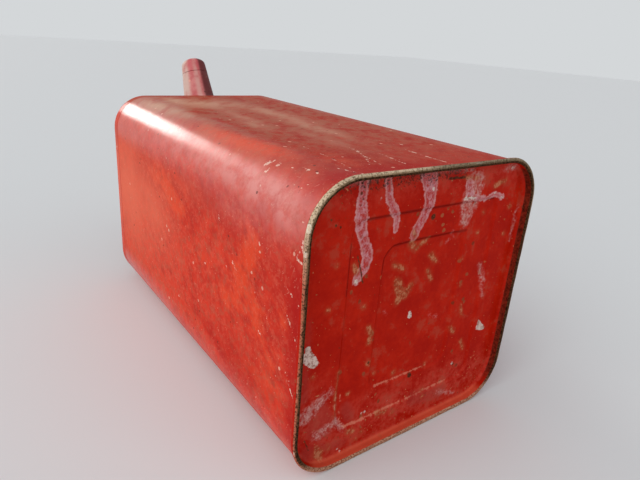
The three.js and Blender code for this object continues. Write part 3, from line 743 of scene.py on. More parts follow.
def bail_wire():
    """Bail: a round section carried along the bent path, with rounded ends."""
    stub, spacing, end_rounding = EAR_OUTER_Y - EAR_THICKNESS - STUB_PAST_EAR, 1.5, 1.2
    corners = [(-stub, 0, 0), (-BAIL_LEG_Y, 0, STUB_BEND), (-BAIL_LEG_Y, -BAIL_REACH, BAIL_BEND),
               (BAIL_LEG_Y, -BAIL_REACH, BAIL_BEND), (BAIL_LEG_Y, 0, STUB_BEND), (stub, 0, 0)]
    path, direction = bent_path(corners, spacing)
    along = np.r_[0, np.cumsum(np.linalg.norm(np.diff(path, axis=0), axis=1))]
    from_end = np.minimum(np.minimum(along, along[-1] - along) / end_rounding, 1)
    radius = WIRE_RADIUS * np.sqrt(np.clip(1 - (1 - from_end)**2, 0, 1))
    radius[[0, -1]] = 0
    side, angle = np.stack([-direction[:, 1], direction[:, 0]], -1), around(28)
    offset = radius[:, None] * np.cos(angle)
    grid = np.stack([PIVOT_X + radius[:, None] * np.sin(angle),
                     path[:, :1] + side[:, :1] * offset, path[:, 1:] + side[:, 1:] * offset], -1)
    return new_object("bail_rod", grid, False, True)


GRIP_LINES = (27.0, 29.5)
GRIP_LINE_DEPTH = 0.45
GRIP_LINE_WIDTH = 0.5
GRIP_SHOULDER = 2.2


def bail_grip():
    """Grip: a barrel turned about Y, with two scored lines near each end and rounded shoulders."""
    half, bore = GRIP_LENGTH / 2, WIRE_RADIUS + CLEARANCE
    along = np.linspace(-half, half, 321)
    share = along / (half - GRIP_ROUNDING)
    radius = GRIP_MIDDLE_RADIUS - (GRIP_MIDDLE_RADIUS - GRIP_END_RADIUS) * share**2
    for line in GRIP_LINES:
        radius -= GRIP_LINE_DEPTH * np.exp(-((np.abs(along) - line) / GRIP_LINE_WIDTH)**2)
    shoulder = np.clip((np.abs(along) - half + GRIP_SHOULDER) / GRIP_SHOULDER, 0, 1)
    radius -= GRIP_SHOULDER * (1 - np.sqrt(1 - 0.99 * shoulder**2))
    profile = np.concatenate([[(bore, -half)], np.stack([radius, along], -1), [(bore, half)]])
    grid = turned(profile, 64)[..., [1, 0, 2]]
    return new_object("turned_grip", grid + (PIVOT_X, 0, -BAIL_REACH), True, True)


EAR_BEND = 1.6
EAR_CORNER = 3.0
EAR_EDGE = 0.25
EAR_EDGE_CREASE = 50
LUG_CROWDING = 1.6


def bail_ear(side):
    """Ear: a strip that runs over the top, bends and rises past the wire. Its middle surface is a
    line of that shape, as wide at each place as the ear's outline, and it is thickened after."""
    floor, plane = PLATEAU_X + CLOSE_GAP + EAR_THICKNESS / 2, EAR_OUTER_Y - EAR_THICKNESS / 2
    inner = EAR_OUTER_Y - EAR_THICKNESS - EAR_FOOT_DEPTH
    turn, lug_share = quarter(8)[1:], np.linspace(0, 1, 40)[1:]
    foot = np.linspace(inner, plane - EAR_BEND, 26)
    height = PIVOT_X + EAR_LUG_RADIUS - floor - EAR_BEND
    lug = floor + EAR_BEND + height * (1 - (1 - lug_share)**LUG_CROWDING)
    y = np.concatenate([foot, plane - EAR_BEND + EAR_BEND * np.sin(turn), np.full(lug.shape, plane)])
    x = np.concatenate([np.full(foot.shape, floor), floor + EAR_BEND * (1 - np.cos(turn)), lug])
    near = np.clip(EAR_CORNER - (foot - inner), 0, EAR_CORNER)
    width_foot = EAR_WIDTH / 2 - EAR_CORNER + np.sqrt(EAR_CORNER**2 - near**2)
    rise = x[len(foot):] - (PLATEAU_X + CLOSE_GAP + EAR_THICKNESS)
    taper = EAR_WIDTH / 2 + (EAR_LUG_RADIUS - EAR_WIDTH / 2) * np.clip(
        rise / (PIVOT_HEIGHT - CLOSE_GAP - EAR_THICKNESS), 0, 1)
    crown = np.sqrt(np.clip(EAR_LUG_RADIUS**2 - np.clip(x[len(foot):] - PIVOT_X, 0, None)**2, 0, None))
    width = np.concatenate([width_foot, np.minimum(taper, crown)])
    across = np.linspace(-1, 1, 33)
    grid = np.stack([x[:, None] + 0 * across, side * y[:, None] + 0 * across, width[:, None] * across], -1)
    made = new_object("ear_left" if side > 0 else "ear_right", grid, False, False)
    thick = made.modifiers.new("thickness", "SOLIDIFY")
    thick.thickness, thick.offset, thick.use_even_offset = EAR_THICKNESS * MILLIMETRE, 0, True
    finished(made)
    weld(made.data, 1e-5)
    cut_holes(made, [cutter("pin_cutter", WIRE_RADIUS + CLEARANCE, (PIVOT_X, side * plane, 0), 40,
                            reach=6, about=(1, 0, 2))])
    edge = made.modifiers.new("edge", "BEVEL")
    edge.width, edge.segments, edge.limit_method = EAR_EDGE * MILLIMETRE, 2, "ANGLE"
    edge.angle_limit = math.radians(EAR_EDGE_CREASE)
    return made


def ear_rivet(number, place):
    """Rivet: a domed head on the ear's foot, its shank and a flatter head under the top."""
    foot, under = 2 * CLOSE_GAP + EAR_THICKNESS, -SHEET - CLOSE_GAP
    bend, taper = quarter(8), 0.6
    dome = np.stack([RIVET_HEAD_RADIUS * np.cos(bend), foot + RIVET_HEAD_HEIGHT * np.sin(bend)], -1)
    low = [(0, under - RIVET_HEAD_HEIGHT), (RIVET_HEAD_RADIUS - taper, under - RIVET_HEAD_HEIGHT),
           (RIVET_HEAD_RADIUS, under), (RIVET_RADIUS, under), (RIVET_RADIUS, foot)]
    grid = turned(np.concatenate([low, dome]), 36)
    return new_object(f"rivet_{number}", grid + place, False, True)


# Finishes


def colour(red, green, blue):
    """Linear colour from display values of 0 to 255."""
    share = np.array((red, green, blue)) / 255
    linear = np.where(share <= 0.04045, share / 12.92, ((share + 0.055) / 1.055)**2.4)
    return (*linear.tolist(), 1.0)


# Colours of the paint outside. Each pair of tones goes from its first to its second
RED_TONES = colour(196, 46, 33), colour(222, 64, 43)
ORANGE_RED = colour(236, 78, 44)
CHALKED_RED = colour(226, 112, 88)
BROWNED_RED = colour(160, 62, 46)
MOTTLED_BROWN = colour(174, 96, 72)
# Painted shade on the side that faces up
UPPER_RED = colour(142, 40, 30)
BROWN_FILM = colour(172, 102, 80)
SCRATCH_PINK = colour(232, 150, 128)
CHIP_PINK = colour(236, 176, 154)
SPECK_BROWN = colour(84, 44, 32)
# Painted sheen towards the far end of the left side
SALMON = colour(238, 118, 90)
# Tan dust, with painted sheen in it
TAN = colour(212, 160, 134)
# Painted sheen along the long edge near the seam
BLOOM_PINK = colour(228, 146, 138)
CRIMSON = colour(172, 22, 22)
FLECK_CREAM = colour(244, 204, 184)
DIRT_BROWN = colour(70, 38, 28)
WORN_STEEL_TONES = colour(92, 76, 62), colour(164, 146, 128)
SPOUT_TONES = colour(198, 100, 100), colour(214, 134, 130)
SPOUT_CAP_RED = colour(204, 84, 92)
# Painted highlight over wear on the spout's left, and painted shade on its right
SPOUT_CREAM = colour(222, 198, 184)
SPOUT_MAROON = colour(94, 42, 44)

# Colours of the bottom
PAN_TONES = colour(174, 22, 7), colour(194, 33, 12)
PAN_WORN_RED = colour(202, 92, 76)
SPECK_TONES = colour(206, 134, 92), colour(106, 56, 28)
PIT_TONES = colour(172, 102, 66), colour(98, 54, 30)
BLUSH_BROWN = colour(172, 76, 56)
# Painted shade along the upper edges of the pressed steps
CREASE_RED = colour(96, 12, 8)
# Painted highlight along the lower edges of the pressed steps
SCUFF_PINK = colour(224, 136, 110)
DULL_RED = colour(162, 62, 54)
# Smears, with a painted highlight streak among them
SMEAR_TONES = colour(186, 120, 112), colour(214, 168, 160)
DRIP_TONES = colour(186, 84, 82), colour(210, 148, 154)
RIM_PINK = colour(218, 160, 154)
STAIN_BROWN = colour(176, 78, 48)
RUST_TONES = colour(112, 62, 34), colour(204, 140, 102)
CHIP_TONES = colour(160, 118, 104), colour(226, 206, 194)
DIRT_TONES = colour(50, 28, 18), colour(98, 58, 34)
# Painted light on the countersink's lower wall, which faces up
LEDGE_SALMON = colour(222, 96, 68)
GRIME_BROWN = colour(74, 36, 24)
WALL_TONES = colour(54, 24, 16), colour(128, 46, 30)

# Colours of the bare seam. Those of the seam and its edge go from low down to high up
SEAM_DARK_TONES = colour(46, 32, 22), colour(104, 82, 58)
SEAM_LIGHT_TONES = colour(142, 94, 66), colour(184, 156, 124)
GLINT_CREAM = colour(246, 238, 220)
EDGE_TONES = colour(206, 118, 92), colour(220, 196, 166)
SOOT_TONES = colour(70, 56, 42), colour(122, 104, 80)
# Painted shade and dirt along the crest's inner side
INNER_TONES = colour(36, 22, 14), colour(92, 62, 40)
FOOT_TONES = colour(140, 80, 58), colour(206, 160, 132)

# Colours of the rest
WOOD_TONES = colour(84, 48, 26), colour(132, 84, 48)
WORN_WOOD = colour(158, 116, 76)
STEEL_TONES = colour(74, 58, 46), colour(134, 120, 104)
SOLDER_TONES = colour(112, 110, 104), colour(160, 158, 150)
RUBBER_TONES = colour(28, 26, 25), colour(52, 49, 47)
COMPOUND_TONES = colour(40, 30, 24), colour(70, 54, 42)
CORK_TONES = colour(128, 92, 56), colour(190, 150, 104)
FLOOR_GREY = colour(226, 227, 228)
SKY_WHITE = colour(235, 240, 245)
BACKDROP_GREY = colour(212, 215, 217)


class Value:
    """One socket of a node tree. Maths on it adds Math nodes."""

    def __init__(self, nodes, socket):
        self.nodes = nodes
        self.socket = socket

    def math(self, operation, *values):
        return self.nodes.node("ShaderNodeMath", {"operation": operation}, dict(enumerate(values)))

    def __add__(self, other):
        return self.math("ADD", self, other)

    __radd__ = __add__

    def __mul__(self, other):
        return self.math("MULTIPLY", self, other)

    __rmul__ = __mul__

    def __sub__(self, other):
        return self.math("SUBTRACT", self, other)

    def __rsub__(self, other):
        return self.math("SUBTRACT", other, self)

    def __or__(self, other):
        return self.math("MAXIMUM", self, other)

    def ramp(self, low, high, to_low=0.0, to_high=1.0):
        """Eased ramp from to_low at low to to_high at high."""
        return self.nodes.node("ShaderNodeMapRange", {"interpolation_type": "SMOOTHSTEP"}, {
            "Value": self, "From Min": low, "From Max": high, "To Min": to_low, "To Max": to_high})


class Nodes:
    """A node tree that is being made."""

    def __init__(self, tree):
        self.tree = tree

    def node(self, kind, settings=None, sockets=None, out=0):
        """Adds a node with its settings, and with a value or a link for each socket named."""
        made = self.tree.nodes.new(kind)
        for name, value in (settings or {}).items():
            setattr(made, name, value)
        for name, value in (sockets or {}).items():
            if isinstance(value, Value):
                self.tree.links.new(value.socket, made.inputs[name])
            else:
                made.inputs[name].default_value = value
        return Value(self, made.outputs[out])


class Finish(Nodes):
    """A material that is being made."""

    def __init__(self, name, **constants):
        self.material = bpy.data.materials.new(name)
        self.material.use_nodes = True
        super().__init__(self.material.node_tree)
        self.shader = self.tree.nodes["Principled BSDF"]
        for socket, value in constants.items():
            self.shader.inputs[socket.replace("_", " ")].default_value = value
        self.place = self.node("ShaderNodeTexCoord", out="Object")

    def mix(self, share, first, second):
        """Colour that goes from first to second with share."""
        return self.node("ShaderNodeMix", {"data_type": "RGBA"}, {0: share, 6: first, 7: second}, out=2)

    def layers(self, under, *layers):
        """Colour with others laid over it in turn: each has its mask, the share that it covers where
        the mask is full, and its colour."""
        for mask, share, tone in layers:
            under = self.mix(mask * share, under, tone)
        return under

    def stretched(self, scale):
        """Object coordinates with each axis scaled."""
        return self.node("ShaderNodeMapping", {}, {"Vector": self.place, "Scale": scale})

    def noise(self, scale, detail=3.0, rough=0.55, place=None, bend=0.0):
        return self.node("ShaderNodeTexNoise", {}, {
            "Vector": place or self.place, "Scale": scale, "Detail": detail, "Roughness": rough,
            "Distortion": bend})

    def span(self, axis, low, high):
        """Eased ramp along one of the can's axes, between two places in millimetres."""
        along = self.node("ShaderNodeSeparateXYZ", {}, {0: self.place}, out=axis.upper())
        start = CAN_ORIGIN["xyz".index(axis)]
        return along.ramp(start + low * MILLIMETRE, start + high * MILLIMETRE)

    def attribute(self, name):
        return self.node("ShaderNodeAttribute", {"attribute_name": name}, out="Fac")

    def specks(self, scale, share, size):
        """Mask of rounded specks: cells whose random value is under share hold one, with an edge
        that a fine noise breaks up."""
        cells = {"Vector": self.place, "Scale": scale}
        away = self.node("ShaderNodeTexVoronoi", {}, cells, out="Distance")
        chance = self.node("ShaderNodeSeparateColor", {}, {
            0: self.node("ShaderNodeTexVoronoi", {}, cells, out="Color")})
        reach = size * (0.35 + self.noise(scale * 2.3, 2.0))
        return (reach - away).ramp(-0.02, 0.03) * chance.ramp(share + 0.005, share)

    def drawn(self, turn, length, width, detail=3.0, seed=0.0):
        """Noise drawn out along the X axis turned by three angles, as long and as wide as given, in
        metres. The seed moves it."""
        place = self.node("ShaderNodeMapping", {"vector_type": "TEXTURE"}, {
            "Vector": self.place, "Scale": (length, width, width), "Rotation": turn,
            "Location": (seed, seed * 1.7, seed * 2.9)})
        return self.noise(1.0, detail, 0.6, place)

    def scratches(self, turn, length, width, share, seed):
        """Mask of fine scratches: the highest parts of a drawn-out noise."""
        return self.drawn(turn, length, width, 0.0, seed).ramp(share, share + 0.03)

    def bump(self, height, strength, distance):
        """Normals of a surface whose height varies by a distance in metres."""
        return self.node("ShaderNodeBump", {}, {
            "Strength": strength, "Distance": distance, "Height": height})

    def done(self, **links):
        """Links values to the shader's sockets and gives the material back."""
        for socket, value in links.items():
            self.tree.links.new(value.socket, self.shader.inputs[socket.replace("_", " ")])
        return self.material


# The way that the can was rubbed, as three angles
RUB_TURN = (0.0, math.radians(-25), math.radians(-39))
# Scratches: three angles, length and width in metres, where in the noise they start, and a seed
SCRATCH_SETS = (((0.3, 0.7, 0.4), 0.009, 0.0007, 0.79, 1.3),
                ((0.9, -0.4, -0.9), 0.007, 0.0006, 0.8, 3.1),
                ((0.1, 1.2, -0.3), 0.006, 0.0005, 0.8, 7.7))
# Strength and distance in metres of bumps
PAINT_BUMP = (0.3, 0.0002)
PAN_BUMP = (0.4, 0.00025)
MATT_BUMP = (0.5, 0.0003)
WOOD_BUMP = (0.25, 0.0002)


def faded_red(f, patchy):
    """Faded red of the can's outside, before its marks: deep to bright red in clouds and in streaks drawn out
    the way that it was rubbed, orange where patchy is high, with dull and pink mottling, painted shade on the
    side that faces up and a brownish film there."""
    cloud = f.noise(17.0, 5.0, 0.6, f.stretched((0.7, 1.0, 1.3)), 0.5)
    streak, fine = f.drawn(RUB_TURN, 0.022, 0.0065, 4.0), f.noise(150.0, 4.0, 0.65)
    grain, mottle = f.noise(480.0, 3.0, 0.6), f.noise(260.0, 5.0, 0.7)
    orange = patchy + (streak - 0.5) * 1.3 + (fine - 0.5) * 0.7
    clean = 1 - patchy * 0.7
    upper = f.span("z", 60, 72.4) * clean * f.span("x", -20, 110)
    film = upper * (streak * 0.5 + fine * 0.5).ramp(0.38, 0.58)
    red = f.layers(
        f.mix((cloud * 0.6 + streak * 0.4).ramp(0.4, 0.6), *RED_TONES),
        (orange.ramp(0.15, 0.9), 0.7, ORANGE_RED),
        ((fine * 0.5 + grain * 0.5).ramp(0.48, 0.62), 0.3, CHALKED_RED),
        ((fine * 0.4 + streak * 0.6).ramp(0.47, 0.36), 0.2, BROWNED_RED),
        ((mottle * 0.7 + cloud * 0.3).ramp(0.49, 0.6), 0.35, MOTTLED_BROWN),
        # Painted shade: the side that faces up is darker
        (f.span("z", 64, 72.4) * clean, 0.5, UPPER_RED),
        (film, 0.7, BROWN_FILM))
    return red, film, grain


def scratched(f, red):
    """Adds scratches, chips and dirt specks that lie at random, and their mask."""
    first, second, third = (f.scratches(*each) for each in SCRATCH_SETS)
    lines, chips = first | second | third, f.specks(290.0, 0.02, 0.32)
    red = f.layers(red, (lines, 0.4, SCRATCH_PINK), (chips, 0.75, CHIP_PINK),
                   (f.specks(330.0, 0.018, 0.28), 0.7, SPECK_BROWN))
    return red, lines | chips


def paint_rough(grain, film):
    """Roughness of the outside's paint, which the film makes a little duller."""
    return grain.ramp(0.3, 0.7, 0.45, 0.58) + film * 0.1


def paint_height(f, grain, marks):
    """Height of the outside's paint, lower in its marks."""
    return f.noise(900.0, 2.0) * 0.25 + grain * 0.4 - marks * 0.6


def can_finish(name):
    """Faded red gloss paint, with the patches and marks that are kept with the mesh, among them painted sheen
    and tan dust with painted sheen. It is glossy on the long edges and rubbed dull on the flats."""
    f = Finish(name, Specular_IOR_Level=0.0, Coat_Roughness=0.27)
    red, film, grain = faded_red(f, f.attribute("orange"))
    soft, rag = f.noise(30.0, 4.0, 0.6), f.noise(900.0, 3.0, 0.6) - 0.5
    red = f.layers(
        red,
        # The paler layers here are painted sheen, and the tan is dust with painted sheen in it
        (f.attribute("salmon"), 0.55 + 0.5 * soft, SALMON),
        (f.attribute("tan"), f.drawn(RUB_TURN, 0.05, 0.012).ramp(0.3, 0.6, 0.45, 1.0), TAN),
        (f.attribute("bloom"), f.noise(110.0, 5.0, 0.7).ramp(0.36, 0.62, 0.5, 1.1), BLOOM_PINK),
        (f.attribute("deep"), 0.85, CRIMSON))
    red, marks = scratched(f, red)
    fleck = f.attribute("fleck") + rag * 2.2 + (f.noise(420.0, 3.0, 0.6) - 0.5) * 2.0
    flecks, dots = fleck.ramp(0.0, 0.4), (f.attribute("dirt") + rag * 1.5).ramp(0.0, 0.3)
    red = f.layers(red, (flecks, 0.85, FLECK_CREAM), (dots, 0.85, DIRT_BROWN))
    gloss = (0.12 + f.attribute("gloss") * 0.42) * (0.3 + 1.4 * f.noise(90.0, 5.0, 0.7))
    height = paint_height(f, grain, marks) - flecks * 0.5
    return f.done(Base_Color=red, Roughness=paint_rough(grain, film), Coat_Weight=gloss - marks * 0.2,
                  Normal=f.bump(height, *PAINT_BUMP))


def plain_finish(name):
    """The same paint on the top and its fittings, paler on the left with the body's painted sheen, and worn
    down to the steel where bare is high."""
    f = Finish(name, Specular_IOR_Level=0.0, Coat_Roughness=0.22)
    soft = f.noise(24.0, 4.0, 0.6)
    red, film, grain = faded_red(f, soft.ramp(0.45, 0.65) * 0.6)
    # Painted sheen carried on from the body's left side
    red = f.layers(red, (f.attribute("salmon"), 0.55 + 0.5 * soft, SALMON))
    red, marks = scratched(f, red)
    bare = (f.attribute("bare") + (grain - 0.5) * 1.6).ramp(0.3, 0.7)
    red = f.layers(red, (bare, 0.9, f.mix(grain.ramp(0.4, 0.6), *WORN_STEEL_TONES)))
    coat = (0.3 - film * 0.2 - marks * 0.1) * (1 - bare)
    height = paint_height(f, grain, marks) - bare * 0.6
    return f.done(Base_Color=red, Roughness=paint_rough(grain, film), Coat_Weight=coat,
                  Metallic=bare * 0.6, Normal=f.bump(height, *PAINT_BUMP))


def spout_finish(name):
    """Paint of the spout and its cap: chalky cream on the left, which is painted highlight over wear, pinkish
    in the middle and darkened by painted shade on the right."""
    f = Finish(name, Specular_IOR_Level=0.0, Coat_Roughness=0.2)
    fine, grain = f.noise(120.0, 4.0, 0.65), f.noise(500.0, 3.0, 0.6)
    red = f.layers(
        f.mix(fine.ramp(0.35, 0.65), *SPOUT_TONES),
        (f.attribute("cap"), 0.5, SPOUT_CAP_RED),
        # Cream on the left is painted highlight over wear, and maroon on the right is painted shade
        (f.attribute("rubbed") * fine.ramp(0.22, 0.55), 0.85, SPOUT_CREAM),
        (f.attribute("shaded"), 0.88, SPOUT_MAROON))
    red, marks = scratched(f, red)
    return f.done(Base_Color=red, Roughness=grain.ramp(0.3, 0.7, 0.4, 0.55), Coat_Weight=0.25 - marks * 0.2,
                  Normal=f.bump(grain * 0.6 - marks * 0.5, *PAINT_BUMP))


def pan_base(f, soft, fine):
    """Deep red of the bottom with its worn, speckled, pitted and browned places, and the mask of its
    pits."""
    worn, spotty = f.attribute("worn"), soft.ramp(0.4, 0.6)
    pits = f.specks(260.0, 0.08, 0.34) | f.specks(170.0, 0.07, 0.26)
    tiny = (f.noise(700.0, 2.0, 0.5) + worn * 0.05).ramp(0.71, 0.75)
    red = f.layers(
        f.mix((soft * 0.7 + fine * 0.3).ramp(0.36, 0.64), *PAN_TONES),
        (worn * (soft * 0.6 + fine * 0.4).ramp(0.4, 0.62), 0.4, PAN_WORN_RED),
        (tiny, 0.8, f.mix(spotty, *SPECK_TONES)),
        (pits, 0.65, f.mix(spotty, *PIT_TONES)),
        ((soft * 0.5 + f.noise(180.0, 5.0, 0.7) * 0.5).ramp(0.53, 0.62), 0.42, BLUSH_BROWN))
    return red, pits


def pan_marks(f, red, fine, rag):
    """Adds painted shade along the upper edges of the bottom's pressed steps and painted highlight along
    their lower edges, and the smears with a painted highlight streak among them, drips, rust, chips and dirt,
    all with ragged edges. Gives the masks of the drips, the chips and the rust too."""
    ragged = (fine - 0.5) * 2.6 + (rag - 0.5) * 1.6
    even, clear = rag.ramp(0.4, 0.6), (fine * 0.6 + rag * 0.4).ramp(0.4, 0.6)
    # Smears, and a painted highlight streak beside the right fillet
    smear = (f.attribute("smear") + ragged * 1.8).ramp(-0.8, 3.0) * fine.ramp(0.3, 0.62)
    depth, decay = f.attribute("drip") + ragged, f.attribute("rust") + ragged * 1.1
    drip = depth.ramp(-0.2, 0.6)
    rust = decay.ramp(-0.3, 0.8) * (rag * 0.6 + fine * 0.4).ramp(0.4, 0.56)
    chip = (f.attribute("chip") + ragged * 0.8).ramp(-0.1, 0.4)
    red = f.layers(
        red,
        # Painted shade along the steps' upper edges, then painted highlight along their lower edges
        ((f.attribute("crease") + (fine - 0.5) * 0.8).ramp(-0.8, 0.5), 0.6, CREASE_RED),
        ((f.attribute("scuff") + ragged * 1.1).ramp(-0.25, 0.5), 0.6, SCUFF_PINK),
        ((f.attribute("dull") + ragged * 1.5).ramp(-1.5, 3.0), 0.4, DULL_RED),
        (smear, 0.75, f.mix(even, *SMEAR_TONES)),
        (drip, 0.4 + 0.45 * clear, f.mix(clear, *DRIP_TONES)),
        (drip * depth.ramp(1.5, 0.4), 0.55, RIM_PINK),
        (decay.ramp(-2.0, 1.0), 0.5, STAIN_BROWN),
        (rust, 0.65, f.mix(fine.ramp(0.4, 0.58), *RUST_TONES)),
        (chip, 0.9, f.mix((fine * 0.5 + rag * 0.5).ramp(0.4, 0.56), *CHIP_TONES)),
        ((f.attribute("dirt") + ragged * 0.6).ramp(-0.1, 0.2), 0.9, f.mix(even, *DIRT_TONES)))
    return red, drip, chip, rust


def pan_edges(f, red, soft, fine, rag):
    """Adds painted light on the ledge below, which faces up, the grime above and the rusty wall on the right.
    """
    dark = f.mix((fine * 0.5 + rag * 0.5).ramp(0.38, 0.6), *WALL_TONES)
    return f.layers(
        red,
        # Painted light on the countersink's lower wall, which faces up
        (f.attribute("ledge"), 0.5 + 0.4 * soft, LEDGE_SALMON),
        ((f.attribute("grime") * 0.16 + rag * 0.6 + fine * 0.4).ramp(0.66, 0.7), 0.85, GRIME_BROWN),
        ((f.attribute("wall") + (fine - 0.5) * 0.5).ramp(0.15, 0.7), 0.92, dark))


def seam_metal(f, soft, fine, rag):
    """Bare rusty metal of the seam: darker low down, darker above on the right, darkest along its inner side,
    where painted shade and dirt lie, and pinkish at its foot, with glints."""
    tone, high, even = fine * 0.35 + rag * 0.35 + soft * 0.3, f.attribute("high"), rag.ramp(0.4, 0.6)
    metal = f.mix(tone.ramp(0.42, 0.58), f.mix(high, *SEAM_DARK_TONES), f.mix(high, *SEAM_LIGHT_TONES))
    return f.layers(
        metal,
        ((f.attribute("glint") + (rag - 0.5) * 1.2).ramp(-0.1, 0.3), 0.9, GLINT_CREAM),
        (f.attribute("edge") * rag.ramp(0.35, 0.55), 0.85, f.mix(high, *EDGE_TONES)),
        (f.attribute("sooty"), 0.7, f.mix(rag.ramp(0.35, 0.65), *SOOT_TONES)),
        # Painted shade and dirt along the crest's inner side
        ((f.attribute("inner") + (fine - 0.5) * 0.7).ramp(0.3, 0.7), 1, f.mix(even, *INNER_TONES)),
        (f.attribute("foot"), 0.85, f.mix(even, *FOOT_TONES)))


def pan_finish(name):
    """Deep red paint of the bottom with its drips, smears, chips, rust and dirt, and bare rusty
    metal on the seam."""
    f = Finish(name, Specular_IOR_Level=0.0, Coat_Roughness=0.25)
    soft, fine, rag = f.noise(60.0, 4.0, 0.6), f.noise(420.0, 4.0, 0.65), f.noise(1100.0, 3.0, 0.65)
    red, pits = pan_base(f, soft, fine)
    red, drip, chip, rust = pan_marks(f, red, fine, rag)
    red = pan_edges(f, red, soft, fine, rag)
    bare = (f.attribute("bare") + (rag - 0.5) * 0.9 + (fine - 0.5) * 0.6).ramp(0.35, 0.6)
    marks = drip | chip | rust
    rough = (0.46 + (fine - 0.5) * 0.2) + marks * 0.2 + bare * 0.15
    height = fine * 0.3 + rag * (0.15 + bare * 0.9) + drip * 0.3 - rust * 0.5 - pits * 0.5
    return f.done(Base_Color=f.mix(bare, red, seam_metal(f, soft, fine, rag)), Roughness=rough,
                  Coat_Weight=0.1 * (1 - (marks | bare)), Metallic=bare * 0.2,
                  Normal=f.bump(height, *PAN_BUMP))


def worn_metal(name, tones, metallic, scale=90.0):
    """Dull metal whose tone and gloss vary with two noises."""
    f = Finish(name)
    cloud, grain = f.noise(scale, 4.0, 0.6), f.noise(scale * 7, 3.0, 0.6)
    shade = f.mix((cloud * 0.6 + grain * 0.4).ramp(0.38, 0.64), *tones)
    return f.done(Base_Color=shade, Roughness=grain.ramp(0.3, 0.7, 0.4, 0.65),
                  Metallic=cloud.ramp(0.3, 0.6, metallic, metallic * 0.7),
                  Normal=f.bump(cloud * 0.5 + grain * 0.5, *PAINT_BUMP))


def matt(name, tones, scale, rough):
    """Matt stuff whose tone varies with a noise, such as rubber or cork."""
    f = Finish(name)
    grain = f.noise(scale, 4.0, 0.65)
    return f.done(Base_Color=f.mix(grain.ramp(0.35, 0.65), *tones),
                  Roughness=grain.ramp(0, 1, rough - 0.05, rough + 0.05),
                  Normal=f.bump(grain, *MATT_BUMP))


def turned_wood():
    """Worn varnished wood: rings drawn out along the grip, which lies along Y."""
    f = Finish("turned_wood", Specular_IOR_Level=0.4)
    rings = f.noise(420.0, 4.0, 0.6, f.stretched((1.0, 0.06, 1.0)), 0.6)
    wear = f.noise(60.0, 4.0, 0.6).ramp(0.5, 0.68)
    shade = f.layers(f.mix(rings.ramp(0.35, 0.65), *WOOD_TONES), (wear, 0.5, WORN_WOOD))
    return f.done(Base_Color=shade, Roughness=wear.ramp(0, 1, 0.38, 0.6),
                  Normal=f.bump(rings, *WOOD_BUMP))


# Marks in the paint

# Strokes on the bottom, seen from outside: y, z and width at each turn, in millimetres
DRIPS = (
    ((43.7, 69.9, 5.5), (43.7, 60.9, 5.5), (42.7, 52.9, 8), (41.2, 46.9, 6), (38.7, 40.9, 6),
     (36.2, 34.9, 6.5), (37.2, 29.9, 6), (40.2, 25.9, 5.5), (41.7, 23.9, 5)),
    ((30.2, 68.9, 4.5), (28.2, 60.3, 4.5), (24.6, 54.6, 5), (21.1, 50.9, 4), (21.1, 44.6, 3.2)),
    ((5.2, 68.4, 11), (3.2, 62.9, 9), (2.5, 54.6, 7), (3.6, 48.9, 6), (6.5, 44.6, 6), (8.6, 40.3, 6),
     (8.6, 38.4, 4)),
    ((-23.8, 61.9, 6), (-25.8, 55.4, 6), (-30.8, 53.9, 4), (-39.8, 52.4, 3), (-45.8, 54.4, 3),
     (-52.8, 51.9, 3.4)))
# Smears; the thin stroke beside the right fillet is a painted highlight
SMEARS = (
    ((-28.2, 60.9, 15), (-27.8, 50.9, 15), (-26.8, 42.9, 9)), ((-67.8, 44.9, 3), (-66.8, 25.9, 2.4)),
    ((65, -40, 9), (57.7, -34.9, 7), (51, -31, 5)),
    ((57, -53.5, 7), (50.4, -51.6, 6), (46.6, -50.2, 5), (41, -57, 4)),
    ((46.9, -47, 1.6), (47.6, -36, 1.6)), ((-45.8, 14.6, 4), (-49.8, 4.9, 4), (-51.8, -4.7, 2.4)),
    ((-12.5, -8.1, 1.6), (-18.8, -11.1, 1.2)), ((21.2, 2.9, 1.6), (19.2, 0.9, 1.2)),
    ((-27.8, -61.1, 3), (-42.8, -67.1, 2.4)),
    ((-18.8, 37.4, 1.8), (-20.4, 33.9, 1.8), (-16.3, 32.4, 1.4)), ((-57.8, 67.9, 5), (-49.8, 66.9, 2)),
    ((60.2, 68.9, 5), (30.2, 70.9, 3)), ((12.2, 70.9, 3), (-23.8, 68.9, 3)))
DULLS = (
    ((58, -40, 14), (55, -50, 18)), ((66, 10, 3), (66, -30, 5)), ((40, -45, 8), (37, -52, 8)),
    ((-10, 68, 4), (24, 69, 3)), ((-8, -58, 10), (-30, -62, 10)), ((62, -62, 10), (40, -66, 6)))
# Painted highlight along the lower edges of the pressed steps
SCUFFS = (
    ((43.9, -46, 1), (43.4, -52, 1), (40.5, -56.1, 1.4), (32, -56.4, 1.2)),
    ((32, -56.4, 1.2), (2.4, -56.1, 0.9)), ((-2, -56.2, 1), (-34, -55.4, 1)),
    ((21.5, -39.9, 1.2), (5, -40, 1.2), (-16, -39.8, 0.8)), ((44.2, -36, 0.8), (44, -40, 1)),
    ((26, -45, 0.8), (23, -42, 0.6)))
